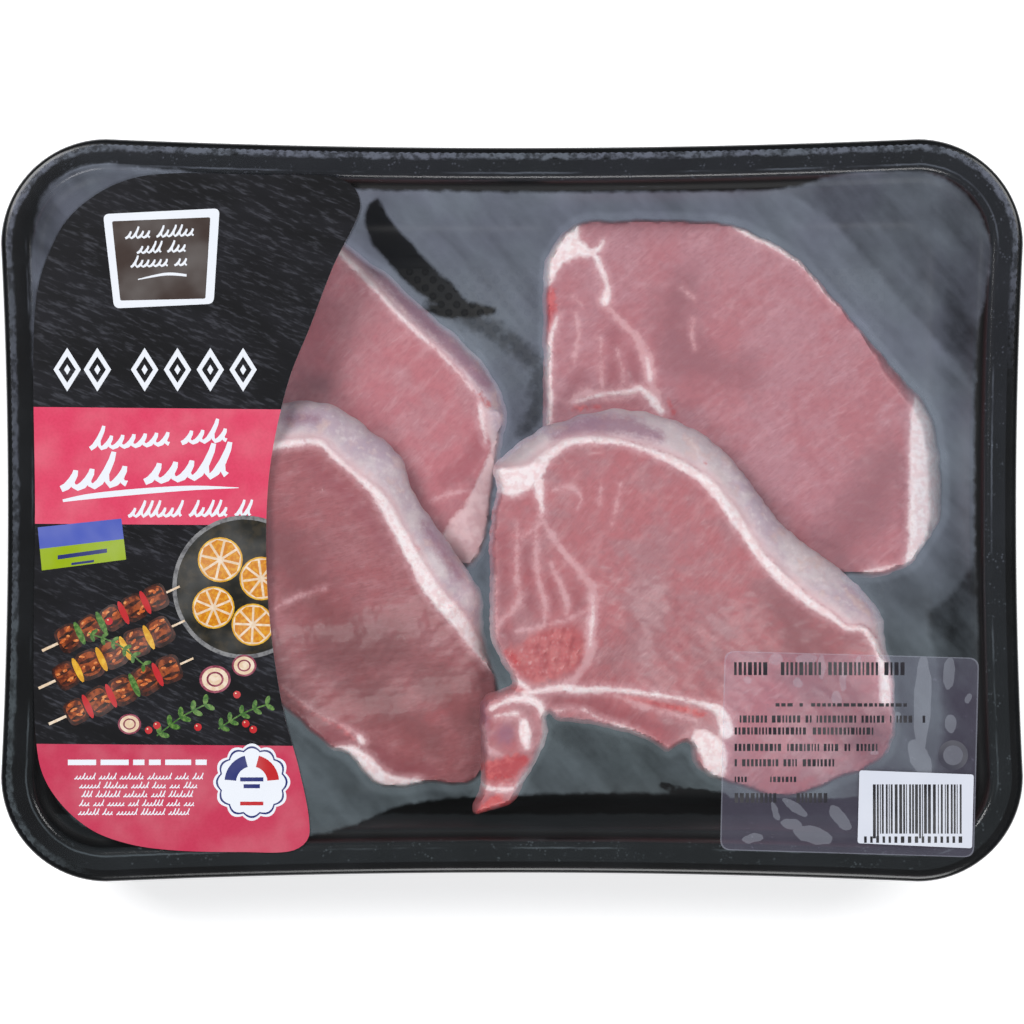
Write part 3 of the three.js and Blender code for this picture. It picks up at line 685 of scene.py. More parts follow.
def cut_face(flat, edge, shoulder, fields, seed):
    """The upper face's height over the chop's bottom: a rounded slab with its relief."""
    u = np.clip(edge / shoulder, 0, 1)
    rounded_share = 0.5 * u + 0.5 * np.sqrt(1 - (1 - u) ** 2)
    relief = wobble(flat, 0.55, 34.0, seed + 1) + wobble(flat, 0.12, 5.0, seed + 2)
    relief += GRISTLE_RISE * soft(fields["white"], -0.8, 0.8)
    relief -= CREVICE_DROP * soft(fields["dark"], -1.5, 1.5)
    pits = wobble(flat, 0.5, 3.2, seed + 3) * soft(fields["bone"], -0.5, 1.5)
    slab = CHOP_THICKNESS * (EDGE_SHARE + (1 - EDGE_SHARE) * rounded_share)
    return slab + (relief + pits) * soft(edge, 0, 3)


def chop(name, corners, lift, seam, strokes, material, nodes, seed):
    """One chop: its slab, its relief and the fields that its material reads."""
    loop = ragged_loop(corners, seed)
    flat, faces = filled(loop, lattice(loop, MESH_PITCH, MESH_PITCH * 0.55))
    edge, shoulder, _ = nearest(flat, loop, True)
    fields = tissue_fields(flat, edge, seam, strokes)
    top = lift(flat) + cut_face(flat, edge, shoulder, fields, seed)
    under = UNDERSIDE_RISE * (1 - np.clip(edge / UNDERSIDE_ROUND, 0, 1)) ** 2
    points, all_faces = two_sided(flat, faces, lift(flat) + under, top)
    points[:, 2] += CHOP_BOTTOM
    both = {key: np.concatenate([values, values]) for key, values in fields.items()}
    piece(name, points, all_faces, [material], nodes, both)
    return loop


# %% [markdown]
# Raw pork drifts between a rosy and a greyer mauve pink, in clouds a couple of centimetres wide.
# Soft pale wisps follow the grain, and the cut face is moist. The fields then lay the other
# tissues over it: fat is warm white, the rind side is a greyer lilac with plum shades, and bone is a
# spongy red.

# %% Meat
def meat_noises(point, grain_angle):
    """The noises that the tissues share, from the broadest clouds to the finest hairs."""

    def along_grain(turn, scale):
        return noise(stretched(point, grain_angle + turn, scale), 1.0, 3.0)

    return SimpleNamespace(
        clouds=noise(point, 0.045, 3.0),
        patch=noise(point, 0.17, 3.0, 0.6),
        mottle=noise(point, 0.5, 4.0, 0.6),
        speckle=noise(point, 1.7, 3.0),
        sponge=noise(point, 0.28, 2.0),
        wisps=along_grain(0, (0.1, 0.3, 0.3)),
        flecks=along_grain(12, (0.22, 0.8, 0.4)),
        hairs=along_grain(0, (0.4, 2.2, 1.0)),
    )


def lean_colour(paint, grain, edge, rosy, mauve, pale, dark):
    """Muscle: two reds in clouds, pale wisps, dark hairs, deeper patches and painted crevice shade."""
    lean = blend(smooth(grain.clouds * 0.6 + grain.patch * 0.4, 0.4, 0.6), rosy, mauve)
    lean = blend(smooth(grain.wisps, 0.46, 0.74) * 0.38, lean, pale)
    lean = blend(smooth(grain.flecks * 0.7 + grain.patch * 0.3, 0.56, 0.7) * 0.4, lean, pale)
    lean = blend((1 - smooth(grain.hairs * 0.5 + grain.mottle * 0.5, 0.36, 0.56)) * 0.3, lean, dark)
    wander = 14.0 * (grain.patch - 0.5) + 14.0 * (grain.clouds - 0.5)
    lean = blend(smooth(field(paint, "deep") + wander, -9.0, 6.0) * 0.75, lean, dark)
    # Painted shade: the lean darkens in the crevices that the dark strokes sink into the relief.
    crevice_shade = smooth(field(paint, "dark") + 7.0 * (grain.patch - 0.5), -2.5, 2.5)
    lean = blend(crevice_shade * 0.5, lean, rgb(146, 66, 76))
    rim = 1 - smooth(edge + 4.0 * (grain.mottle - 0.5), 0.2, 2.6)
    return blend(rim * 0.25, lean, rgb(160, 82, 90))


def side_colour(grain, edge, band, ragged):
    """The rind side: greyish lilac, paler beside the seam and darker at the edge."""
    clouds = smooth(grain.clouds * 0.6 + grain.patch * 0.4, 0.42, 0.58)
    side = blend(clouds, rgb(206, 191, 195), rgb(186, 164, 178))
    side = blend(smooth(grain.patch, 0.52, 0.68) * 0.5, side, rgb(220, 188, 178))
    side = blend(smooth(grain.mottle, 0.5, 0.7) * 0.4, side, rgb(228, 214, 215))
    side = blend((1 - smooth(band + ragged, 1.0, 5.0)) * 0.6, side, rgb(230, 203, 206))
    return blend((1 - smooth(edge + ragged * 0.5, 0.5, 4.5)) * 0.3, side, rgb(150, 128, 140))


def with_bone_and_blood(paint, grain, ragged, colour):
    """Lays spongy sawn bone and spots of blood over a colour."""
    marrow = blend(smooth(grain.patch, 0.4, 0.6), rgb(180, 82, 86), rgb(196, 102, 104))
    marrow = blend(smooth(grain.sponge, 0.48, 0.7) * 0.5, marrow, rgb(206, 126, 124))
    marrow = blend((1 - smooth(grain.sponge, 0.3, 0.48)) * 0.4, marrow, rgb(162, 68, 74))
    bone = smooth(field(paint, "bone") + ragged * 0.8, -1.8, 1.6)
    colour = blend(bone * 0.85, colour, marrow)
    clot = smooth(grain.patch * 0.6 + grain.mottle * 0.4, 0.42, 0.6)
    blood = smooth(field(paint, "blood") + ragged * 0.8, -0.9, 1.0)
    return blend(blood * 0.8, colour, blend(clot, rgb(180, 48, 56), rgb(208, 92, 92)))


def with_fat(paint, grain, ragged, colour):
    """Lays veins, white seams and the pale flap over a colour."""
    veins = field(paint, "veins") + (ragged * 0.45 + (grain.patch - 0.5) * 3.0)
    colour = blend(smooth(veins, -2.2, 0.6) * 0.35, colour, rgb(208, 150, 156))
    colour = blend(smooth(veins, -0.8, 0.9) * 0.55, colour, rgb(222, 178, 182))
    white = field(paint, "white")
    colour = blend(smooth(white + ragged * 0.45, -2.4, 0.3) * 0.5, colour, rgb(216, 168, 174))
    core = smooth(white + ragged * 0.4 + (grain.patch - 0.5) * 1.5, -0.6, 0.9)
    fat = blend(smooth(grain.mottle, 0.42, 0.62), rgb(250, 240, 242), rgb(241, 216, 218))
    colour = blend(core * 0.92, colour, fat)
    flap = smooth(field(paint, "flap") + ragged * 0.5, -0.9, 0.9)
    flap_fat = blend(smooth(grain.patch, 0.42, 0.6), rgb(234, 200, 203), rgb(218, 176, 180))
    return blend(flap * 0.9, colour, flap_fat)


def meat(name, grain_angle, rosy, mauve, pale, dark):
    """A chop's material: muscle, with every other tissue laid over it by the fields."""
    made, paint = new_paint(name)
    grain = meat_noises(place(paint), grain_angle)
    ragged = (grain.mottle - 0.5) * 5.0 + (grain.speckle - 0.5) * 2.0
    edge, band = field(paint, "edge"), field(paint, "side")
    lean = lean_colour(paint, grain, edge, rosy, mauve, pale, dark)
    side = side_colour(grain, edge, band, ragged)
    colour = blend(smooth(band + ragged * 0.3, -0.5, 1.0), lean, side)
    plum = smooth(field(paint, "plum") + ragged, -2.2, 2.0)
    colour = blend(plum * 0.75, colour, rgb(144, 96, 118))
    colour = with_bone_and_blood(paint, grain, ragged, colour)
    look = {
        "Base Color": with_fat(paint, grain, ragged, colour),
        "Roughness": 0.34 + 0.2 * grain.mottle,
        "Specular IOR Level": 0.35,
        "Coat Weight": 0.15,
        "Coat Roughness": 0.14,
        "Subsurface Weight": 0.12,
        "Subsurface Radius": (1.0, 0.35, 0.25),
        "Subsurface Scale": 1.4 * MM,
        "Normal": bump(grain.hairs * 0.3 + grain.mottle * 0.5, 0.35, 0.5),
    }
    finish_principled(paint, look)
    return made


# %% Back left chop
back_left_outline = outline(
    (PLAIN_SIDE, [
        (-13, -18), (-10, -16), (-7, -10), (-5.3, -1), (-3.6, 12.5), (-2.6, 20.5), (-1, 28.5),
    ]),
    (THIN_SIDE, [
        (-2, 33.5), (-7, 42.5), (-14.5, 51), (-21, 56.5), (-28.5, 63), (-37.5, 71.5), (-44, 76),
        (-50, 81), (-58, 86),
    ]),
    (PLAIN_SIDE, [
        (-70, 87), (-85, 84), (-98, 74), (-107, 58), (-109, 40), (-102, 24), (-86, 13), (-64, 4),
        (-46, -4), (-30, -12), (-20, -17),
    ]),
)
back_left_seam = [
    (-64, 86), (-52, 77.5), (-42.5, 68), (-31.5, 56), (-19, 45), (-11.5, 35.5), (-9.5, 31), (-8.5, 25),
    (-6.5, 19), (-7.5, 15.5), (-10.5, 9), (-14.5, -0.5), (-21, -7), (-30, -15),
]
back_left_strokes = {
    "white": [
        [(-64, 86, 0.8), (-52, 77.5, 0.8), (-42.5, 68, 0.8), (-31.5, 56, 0.6), (-22, 47.5, 0.4)],
        [(-22, 47.5, 0.4), (-15, 40, 0.3), (-11.5, 35.5, 0.1)],
        [(-9.6, 31.4, 0.6), (-8.8, 26, 0.9), (-7.6, 20, 0.3)],
    ],
    "flap": [
        [(-4.1, 22, 0.4), (-6, 14, 1.4), (-8.6, 6, 2.6), (-11, -1, 4.2), (-13.5, -6, 5.8)],
        [(-13.5, -6, 5.8), (-15, -12, 5.5), (-14, -17, 3)],
    ],
    "veins": [[(-24.5, 2.6, 0.2), (-19.4, 4.8, 0.4), (-13.4, 6, 0.3)]],
    "blood": [[(-9.6, 34.6, 0.6), (-7.2, 31.6, 0.7)]],
    "dark": [[(-20, 9, 3), (-13, 14, 3), (-10, 22, 2)]],
    "deep": [[(-64, 70, 6), (-62, 56, 7), (-58, 40, 3)]],
    "plum": [[(-50, 79, 1), (-40, 70.5, 1.6), (-30, 60.5, 2), (-20, 50.5, 2), (-8, 38, 1.8)]],
}
meat_back_left = meat(
    "meat_back_left", -48, rgb(188, 112, 120), rgb(184, 124, 131), rgb(208, 158, 164), rgb(152, 84, 92)
)
back_left_loop = chop(
    "chop_back_left", back_left_outline, on_the_pad, back_left_seam,
    back_left_strokes, meat_back_left, ["back_left_lean", "back_left_fat"], 11,
)

# %% Front left chop
front_left_outline = outline(
    (FAT_SIDE, [
        (-68, 32.5), (-56.5, 32.5), (-51, 30.5), (-44.5, 26), (-33.5, 17), (-28.5, 5), (-21, -6),
        (-12.6, -18), (-8.6, -25),
    ]),
    (9, [(-8.2, -31)]),
    (6, [(-7.6, -38.5)]),
    (PLAIN_SIDE, [
        (-4.8, -45.5), (-3, -51), (-2.5, -60), (-4, -72), (-8.5, -80), (-13, -83.5), (-20.5, -83),
        (-27, -83), (-34.5, -84.5), (-41, -83), (-45.5, -79), (-49, -74.5), (-55, -72), (-62, -66),
        (-70, -59), (-85, -51), (-100, -40), (-112, -20), (-114, 0),
    ]),
    (FAT_SIDE, [(-106, 18), (-92, 28), (-80, 32)]),
)
front_left_seam = [
    (-108, 9), (-88, 17), (-70, 19), (-57, 20), (-52.5, 16), (-46, 10.5), (-39, 4), (-36, -0.5),
    (-33.5, -6), (-29, -14.5), (-24, -24), (-16.5, -33), (-11, -41.5), (-5.5, -49),
]
front_left_strokes = {
    "white": [
        [(-108, 9, 1), (-88, 17, 1), (-70, 19, 1.1), (-57, 20, 1), (-52, 15.6, 0.7), (-46, 10.4, 0.6)],
        [(-46, 10.4, 0.8), (-39, 4.2, 1.5), (-37.2, 1.2, 1.9), (-34.6, -3.6, 1.7), (-29, -14, 2)],
        [(-29, -14, 2), (-23.6, -23.4, 2.3), (-16, -32.4, 2.3), (-10.6, -40.6, 1.8), (-6.4, -47, 0.6)],
        [(-54.5, -72.3, 0.8), (-48.6, -71.8, 1.6), (-45.8, -74.5, 3), (-42.6, -77.8, 3.2)],
        [(-42.6, -77.8, 3.2), (-38.7, -80.8, 2.8), (-34, -82, 2.2), (-28, -81.6, 1.4), (-25, -82, 0.4)],
        [(-45.6, -68, 0.8), (-44.6, -69.4, 0.8)],
    ],
    "veins": [
        [(-70, -29, 0.1), (-62, -25, 0.2), (-55, -23, 0.1)],
        [(-68, -52.2, 0.2), (-61.2, -58.2, 0.3), (-53.7, -62.7, 0.3), (-46.2, -67.2, 0.3)],
    ],
    "blood": [
        [(-72, -49, 0.1), (-66, -55, 0.2), (-57.5, -61.4, 0.1), (-50, -65.6, 0.4), (-47, -68.5, 0.2)],
        [(-32, -6.5, 0.1), (-27.5, -12, 0.2)],
    ],
    "dark": [
        [(-64, -61, 1.5), (-57, -66, 3.5), (-50, -69, 2)],
        [(-60, 14, 2), (-48, 4, 2), (-38, -10, 2)],
        [(-40, -72, 2), (-34, -77, 2.5), (-24, -78, 1)],
    ],
    "deep": [
        [(-76, -4, 6), (-66, -12, 6), (-58, -26, 6), (-50, -37, 7), (-38, -40, 4)],
        [(-22, -52, 4), (-16, -60, 4)],
        [(-44, -54, 4), (-36, -62, 6), (-26, -68, 5)],
        [(-44, -72, 4), (-30, -77, 4)],
    ],
    "plum": [[(-26, -4, 1), (-16, -19, 1.5)], [(-66, 27, 1.5), (-58, 27, 1)]],
}
front_left_lift = ramp((-0.25, 0.97), -54, -12)
meat_front_left = meat(
    "meat_front_left", -16, rgb(160, 87, 92), rgb(164, 101, 106), rgb(188, 132, 138), rgb(120, 58, 61)
)
front_left_loop = chop(
    "chop_front_left", front_left_outline, lambda p: CHOP_LIFT * front_left_lift(p),
    front_left_seam, front_left_strokes, meat_front_left,
    ["front_left_lean", "front_left_fat", "front_left_belly", "front_left_tail_fat"], 23,
)

# %% Back right chop
back_right_outline = outline(
    (PLAIN_SIDE, [
        (13.5, 82), (18.5, 86.5), (24, 88), (36.5, 88.2), (50, 88.2), (66, 86.6), (75.5, 82.5),
        (87.5, 75), (96, 65.5), (106, 54),
    ]),
    (4, [(115.5, 42.5)]),
    (5, [(123.5, 34), (127.5, 26.5), (129.5, 14), (129.8, 2)]),
    (4, [(128.6, -4.5)]),
    (PLAIN_SIDE, [
        (125.5, -9), (121.5, -15.5), (113, -20), (102.5, -20.5), (88, -18), (72, -12), (55, -4),
        (40, 4), (28, 9), (15, 11), (9.4, 16), (9, 25.5), (9, 42.5), (9, 56), (9, 69), (10, 76),
    ]),
)
back_right_strokes = {
    "white": [
        [(10.4, 68.5, 1.4), (12, 73, 2.2), (14.5, 77.5, 3), (17.5, 81, 2.4), (19, 84.6, 1.2)],
        [(15, 76.5, 2.6), (19.5, 78.4, 2.6), (23, 77, 1.3), (26.4, 78.6, 0.6), (27.4, 81, 0.3)],
        [(25, 76, 0.8), (26.6, 72.6, 0.8), (28.6, 66.4, 0.8), (27.8, 62.6, 1.5)],
        [(13.4, 57.6, 0.4), (11.4, 50, 0.9), (10.9, 41, 0.9), (11.4, 31.6, 0.9), (10.8, 24, 0.5)],
        [(66.5, 84.6, 0.7), (75, 80.9, 1.1), (87.5, 73, 0.8), (92.5, 66.4, 0.4), (98, 60, 0.1)],
        [(121, 33, 0.8), (122.6, 27, 3.4), (123.8, 15, 5), (124.2, 4, 5.4), (123, -4, 4.6)],
        [(123, -4, 4.6), (121, -11, 2.6), (118, -16, 0.8)],
        [(105.5, -18.6, 0.5), (110.5, -17.6, 0.6), (115, -16.4, 0.3)],
        [(19, 32.4, 0.1), (26, 34.4, 0.6), (34, 35.4, 0.5), (38.5, 36.4, 0.8)],
        [(38.5, 36.4, 0.8), (41.6, 33.4, 1.2), (44.6, 29.5, 1.2)],
        [(40.4, 45.5, 0.3), (41.4, 39, 0.7)],
    ],
    "veins": [
        [(27.8, 62.6, 1), (29.8, 59.6, 0.7), (35.5, 53.5, 0.8), (37.4, 51.6, 1.2), (40.8, 44.5, 1.7)],
        [(40.8, 44.5, 1.7), (41.8, 37.8, 1.8), (44.5, 29.5, 1.2)],
        [(17, 31.8, 0.6), (22, 34.8, 1.2), (28.8, 34, 1), (35.5, 35.5, 1.2), (40, 36.3, 1.2)],
        [(19, 59.5, 0.2), (19.8, 54.3, 0.4), (18.6, 44.5, 0.2)],
        [(26.5, 51.3, 0.2), (26.8, 43, 0.4), (27, 36.3, 0.3)],
        [(31.4, 48.3, 0.2), (32.8, 43, 0.4), (33.3, 37.5, 0.3)],
        [(50.5, 66.5, 0.1), (54.3, 63.3, 0.3)],
        [(54.2, 57, 0.2), (53.8, 52.6, 0.4), (54.4, 48.3, 0.1)],
        [(18, 64, 0.2), (21, 61, 0.4)],
    ],
    "blood": [
        [(11.4, 66.4, 1.4), (11.6, 60, 1.7), (11, 54, 0.9)],
        [(9.6, 48, 0.2), (9.6, 26, 0.4)],
        [(19, 30.6, 1), (26, 31, 0.4)],
        [(46.6, 33, 0.3), (48.6, 28.5, 0.4)],
    ],
    "deep": [
        [(50, 64, 4), (48, 54, 5), (56, 44, 6), (68, 40, 3)],
        [(112, 14, 4), (106, 0, 6), (98, -10, 4)],
    ],
    "dark": [
        [(30, 54, 1.6), (31, 48, 2.4), (30.4, 40, 2.4)],
        [(35.6, 46, 1.6), (37, 40, 1.8)],
        [(20, 40, 2.5), (17, 34, 1.5)],
        [(118, 22, 1.5), (118, 6, 2), (118, -8, 1.5)],
        [(60, 86, 1), (36, 87, 1.5), (24, 86, 1)],
    ],
    "plum": [[(10, 82, 0.6), (8.6, 70, 0.8), (8.6, 50, 0.6)]],
}
meat_back_right = meat(
    "meat_back_right", -38, rgb(180, 112, 120), rgb(182, 126, 135), rgb(206, 158, 166), rgb(144, 86, 94)
)
back_right_loop = chop(
    "chop_back_right", back_right_outline, on_the_pad, None, back_right_strokes, meat_back_right,
    [
        "back_right_eye", "back_right_side_muscle", "back_right_fat", "back_right_corner_fat",
        "back_right_vertebra",
    ], 37,
)

# %% Front right chop
front_right_outline = outline(
    (PLAIN_SIDE, [
        (-6, 12.5), (-5, 6), (-6.5, -2.5), (-7, -14.5), (-7, -31.5), (-6, -39.5), (-3, -46),
        (-0.8, -49.4), (-0.4, -51.2), (-3.5, -53), (-9, -55.5), (-9.8, -62), (-9.6, -72), (-10, -83),
        (-12, -88), (-11, -90.2), (-5.5, -89.4), (1, -86), (4.6, -79.6), (8.4, -73), (11, -66),
        (10.8, -60.6), (12.4, -62.5), (18, -63.4), (26.6, -65.2), (35, -67.2), (41, -69.8), (46.5, -73),
        (52.5, -70.4), (54.5, -76.5), (60, -81), (70, -84.5), (78.5, -87), (88, -86), (98, -81.5),
        (108, -77.5), (113.5, -71.5), (115, -60.5), (113.5, -48),
    ]),
    (4, [(111.5, -40)]),
    (8, [(109.5, -30.5)]),
    (10, [(104.5, -24)]),
    (FAT_SIDE, [
        (96.5, -16.5), (88, -10.5), (80, -3.5), (71.5, 7.5), (66, 14.5), (60.5, 20), (54, 24.5),
        (43.5, 28.5), (31.5, 30.5), (22.5, 29), (8.5, 24.5),
    ]),
    (6, [(-1, 18)]),
)
front_right_seam = [
    (-12, 11), (-5, 11.5), (4, 11.8), (10, 16.6), (16.5, 20.6), (22.5, 21), (31, 20.6), (39.5, 18.6),
    (48, 15.2), (57, 9.8), (62, 4), (67.5, -3.5), (72.5, -11.2), (79.5, -18.6), (87, -25.2),
    (94.5, -30.4), (98.5, -33.8), (103, -33.8), (107.5, -38), (110, -43), (112, -52),
]
front_right_strokes = {
    "white": [
        [(-6.5, 10.6, 2), (-3, 8.8, 3.8), (1.5, 8.6, 4.1), (6, 11, 2.8), (10, 15.8, 1.5)],
        [(10, 15.8, 1.5), (14.2, 18.9, 1.2), (19.3, 20.6, 1.1), (31, 20.2, 0.8), (39.5, 18, 1)],
        [(39.5, 18, 1), (48, 14.2, 1.2), (57, 8.6, 1.6), (62, 2.8, 1.8), (67.5, -4.8, 1.7)],
        [(67.5, -4.8, 1.5), (72.5, -12.6, 1.5), (79.5, -20, 1.6), (87, -26.6, 1.4), (94.5, -31.6, 1)],
        [(94.5, -31.6, 1), (98.5, -34.6, 0.7), (103, -34.8, 0.7), (107, -39, 1)],
        [(107, -39, 1), (109.4, -46, 1.5), (110.5, -56, 1.8)],
        [(7.6, 8, 1.6), (8.3, 4, 1), (9, -0.5, 0.3)],
        [(24, -25, 0.1), (23.8, -31.5, 0.5), (23, -40, 0.2)],
        [(-6, -30, 0.2), (-6, -39.9, 0.4), (-2.9, -44.1, 0.3)],
        [(1.4, -50, 0.7), (4.7, -52.5, 0.8)],
        [(3.2, -54, 0.6), (14, -52.4, 0.9), (19.5, -53, 1.1), (29.5, -53.2, 0.8), (42, -54.8, 0.6)],
        [(42, -54.8, 0.6), (54.5, -57.2, 0.7), (62, -60, 1.6), (64, -66, 2.2)],
        [(-6.2, -58.4, 0.6), (-2, -56.3, 0.9), (3.9, -55.4, 1.1), (8.1, -57.5, 1.2), (9.6, -61.7, 1)],
        [(9.6, -61.7, 1), (9.8, -66.8, 0.9), (8, -72.7, 0.7), (4.7, -77.7, 0.6), (0.5, -81.9, 0.5)],
        [(3.6, -62.5, 1.3), (3.8, -66, 1.7), (4.4, -69.5, 0.8)],
        [(-4.5, -60.4, 0.5), (1.4, -59.8, 0.8)],
        [(-9.8, -80.2, 0.4), (-6.2, -81.9, 0.6), (0.5, -81.9, 0.5)],
        [(13.1, -59.2, 0.1), (20.7, -58.8, 0.1), (25.7, -61.7, 0.2), (35, -65.3, 0.4), (40.8, -68.3, 0.2)],
        [(56.5, -68.5, 3), (60, -72, 4), (61, -77.5, 3.2)],
    ],
    "veins": [
        [(1.6, -4, 0.2), (1.3, -14.7, 0.5), (1.4, -19.7, 0.7), (2.2, -25.6, 0.7), (-1.2, -30.7, 0.6)],
        [(-1.2, -30.7, 0.6), (-5, -34.9, 0.4)],
        [(7, -6, 0.2), (7.2, -14.7, 0.6), (8.1, -21.4, 0.7), (9.8, -27.3, 0.7), (9.3, -33.2, 0.4)],
        [(11.5, -15, 0.2), (12.6, -18.1, 0.5), (14.8, -23.1, 0.7), (16.3, -28.1, 0.7), (15.8, -32.3, 0.4)],
        [(8.4, -1, 0.3), (10.1, -4.6, 0.5), (16.3, -13.8, 0.9), (20, -18, 0.9)],
        [(1.6, -9, 0.1), (5, -6.5, 0.4), (8.6, -3.4, 0.2)],
        [(17, -14.7, 1), (21.5, -19.7, 1.2), (24, -23.1, 1.5), (23.8, -31.5, 1.6), (23, -42.4, 1.2)],
        [(23, -42.4, 1.2), (19.8, -48.3, 1), (15.6, -51.7, 1.1)],
        [(-5.8, -20, 0.6), (-6, -32, 1.3), (-6, -39.9, 1.4), (-2.9, -44.1, 1.2), (1.4, -50, 1.2)],
        [(1.4, -35.7, 0.3), (8.9, -34, 0.5), (15.6, -32.3, 0.5), (21.5, -29.8, 0.3)],
        [(29, -54, 0.3), (36, -57.4, 0.6), (47.5, -60.5, 0.5), (55, -63, 0.3)],
        [(11.2, 5.6, 0.1), (17.3, 6.7, 0.4), (20.3, 3.6, 0.4), (19.3, 0.5, 0.1)],
        [(26, 8, 0.1), (26, 2, 0.2)],
        [(32, 8, 0.1), (30.5, 0, 0.2), (29.5, -4, 0.1)],
        [(-8.5, -64, 0.2), (-7, -70, 0.5), (-3, -72, 0.4)],
    ],
    "blood": [
        [(9.4, 14.6, 0.3), (8.4, 12.6, 0.3)],
        [(57, 13.8, 0.2)],
        [(-4, -51.6, 1.2), (0, -50.6, 1.9), (3, -52.2, 1.2)],
        [(-6.6, 0, 0.5), (-6.8, -8, 0.9), (-6.8, -18, 0.7), (-6.6, -26, 0.2)],
        [(-2, -42, 0.8), (1, -45, 1), (-1, -47, 0.4)],
        [(-8, -76.6, 2.2), (-2, -75.6, 3.2), (3.2, -73.6, 2)],
        [(-4.5, -84.6, 1.8), (-7, -87, 1.6), (-9.5, -89.2, 1.4)],
        [(-0.3, -87, 1.2), (-3, -86.6, 1)],
        [(33, -55.4, 0.3), (44.5, -57.8, 0.7), (57, -60.8, 0.7)],
    ],
    "bone": [
        [(4, -42.5, 3), (10, -40.5, 5.6), (16, -40.6, 6), (12, -46, 4)],
        [(0, -42, 2), (2, -46, 3), (8, -48, 3)],
        [(-7, -80.4, 2.4), (-1, -79.6, 2.4)],
        [(34, -55.8, 0.5), (45, -58.2, 1), (57, -60.9, 0.9)],
    ],
    "dark": [
        [(-2.5, -8, 1.6), (-2, -20, 1.8), (-2.5, -27, 1.6)],
        [(4.4, -12, 1.4), (5, -20, 1.8), (6, -29, 2)],
        [(11, -21, 1.4), (12.6, -28, 1.8)],
        [(18.8, -24, 1.8), (19.8, -29, 1.8)],
        [(14, -56.3, 1.6), (24, -58, 2.4), (34, -61.5, 2.4), (46, -66, 2.6)],
        [(-2, -34, 1.6), (0, -39, 1.6)],
        [(-8.6, -57.5, 2), (-8.6, -64, 2.6), (-8.4, -71, 2)],
    ],
    "deep": [[(78, -28, 4), (88, -40, 8), (98, -58, 8)]],
    "plum": [
        [(-1.8, -65.9, 2.8)],
        [(-8.8, -57.5, 1.2), (-9, -63, 1.4), (-8.8, -70, 1.2)],
        [(13, 21.6, 1.2), (22, 24.6, 2.8), (34, 24.8, 2.6), (43, 22, 1.4)],
    ],
}
over_back_right = ramp((0.348, 0.937), -50, 8)
over_front_left = ramp((-1, 0), -50, -2)
meat_front_right = meat(
    "meat_front_right", -50, rgb(182, 106, 112), rgb(172, 119, 125), rgb(202, 154, 158), rgb(142, 82, 88)
)
front_right_loop = chop(
    "chop_front_right", front_right_outline,
    lambda p: CHOP_LIFT * (1 - (1 - over_back_right(p)) * (1 - over_front_left(p))),
    front_right_seam, front_right_strokes, meat_front_right,
    [
        "front_right_eye", "front_right_side_muscle", "front_right_fat", "front_right_vertebra",
        "front_right_spine_tip", "front_right_rib", "front_right_belly", "front_right_tail_fat",
    ], 53,
)


# %% [markdown]
# ## The film
# The film is welded flat to the rim and sags a little over the meat. Cold meat makes it mist
# up inside, except where it touches the meat, in one wiped streak and along the front wall. It is
# one thin closed sheet. Its upper face is clear and glossy, and its lower face carries the mist
# as a mask of distances: to the chops, to the streak, and to the edge of the misted area.

# %% Film shape
FILM_EDGE_INSET = 2.0
SEAL_INSET = 8.0
FILM_GAP = 0.1
FILM_THICKNESS = 0.3
FILM_SAG = 2.0
SAG_POWER = 2.5


def film_height(points):
    """The film's underside over points in the plane."""
    reach = np.array([TRAY_LENGTH / 2 - END_BOW, TRAY_WIDTH / 2 - SIDE_BOW]) - SEAL_INSET - 1
    share = 1 - np.minimum(1, np.abs(points) / reach) ** SAG_POWER
    return RIM_TOP + FILM_GAP - FILM_SAG * share[:, 0] * share[:, 1]


SCALLOP_PITCH = 2.2
SCALLOP_DEPTH = 0.3

film_line = tray_ring(FILM_EDGE_INSET, 1.0, 90, 160)
film_edge = np.vstack([film_line, film_line[:1]])
film_run = length_along(film_edge)
marks = np.arange(0, film_run[-1], SCALLOP_PITCH / 4)
scalloped = np.column_stack([np.interp(marks, film_run, column) for column in film_edge.T])
teeth = np.abs(np.sin(marks * math.pi / SCALLOP_PITCH))
scalloped += outward(scalloped) * (SCALLOP_DEPTH * teeth)[:, None]
print(f"film edge: {film_run[-1]:.0f} mm round, {len(marks)} points")

# %% [markdown]
# The mist's own outline wanders, so every mask gets some noise added to its distance before the
# soft step. Over the weld the film is not misted, but small drops sit under it, and torn bits of
# the film's edge catch the light. A pale line along the weld's inner edge and a white stroke along
# a wrinkle near the back wall are painted highlights. A ray of light that only fills in a shadow
# would meet many clear faces, so the film and the clear label are left out of such rays.

# %% Film looks
wiped_streak = [
    [(-39.2, 90.5, 0.9), (-40.1, 87, 2.9), (-38, 81.1, 4.1), (-33.3, 76.1, 4.4), (-28.9, 70.8, 4.4)],
    [(-28.9, 70.8, 4.4), (-23.9, 66.4, 4.1), (-19, 62.9, 3.5), (-16.6, 60.2, 2.9)],
    [(-25.7, 59.3, 1), (-19.5, 58.8, 2.3), (-12.2, 58.8, 2.3), (-5.7, 58.5, 1)],
]
faint_streak = [
    [(-13.7, 56.7, 2.6), (-9.3, 54.4, 2.6), (-3.4, 51.4, 2.4), (1.9, 47.3, 2.6), (7, 43, 2.6)],
    [(9, 40, 3), (7, 28, 2.5), (4, 22, 2)],
]
front_clear = [
    [(-44, -92, 0.6), (-30, -89, 2), (-10, -87, 2.6), (20, -86.6, 2.5), (62, -87, 2.6)],
    [(44, -80.6, 1), (50, -82.4, 1.4), (62, -84.6, 1.8)],
    [(62, -87, 2.6), (100, -87, 3), (120, -84, 3)],
]
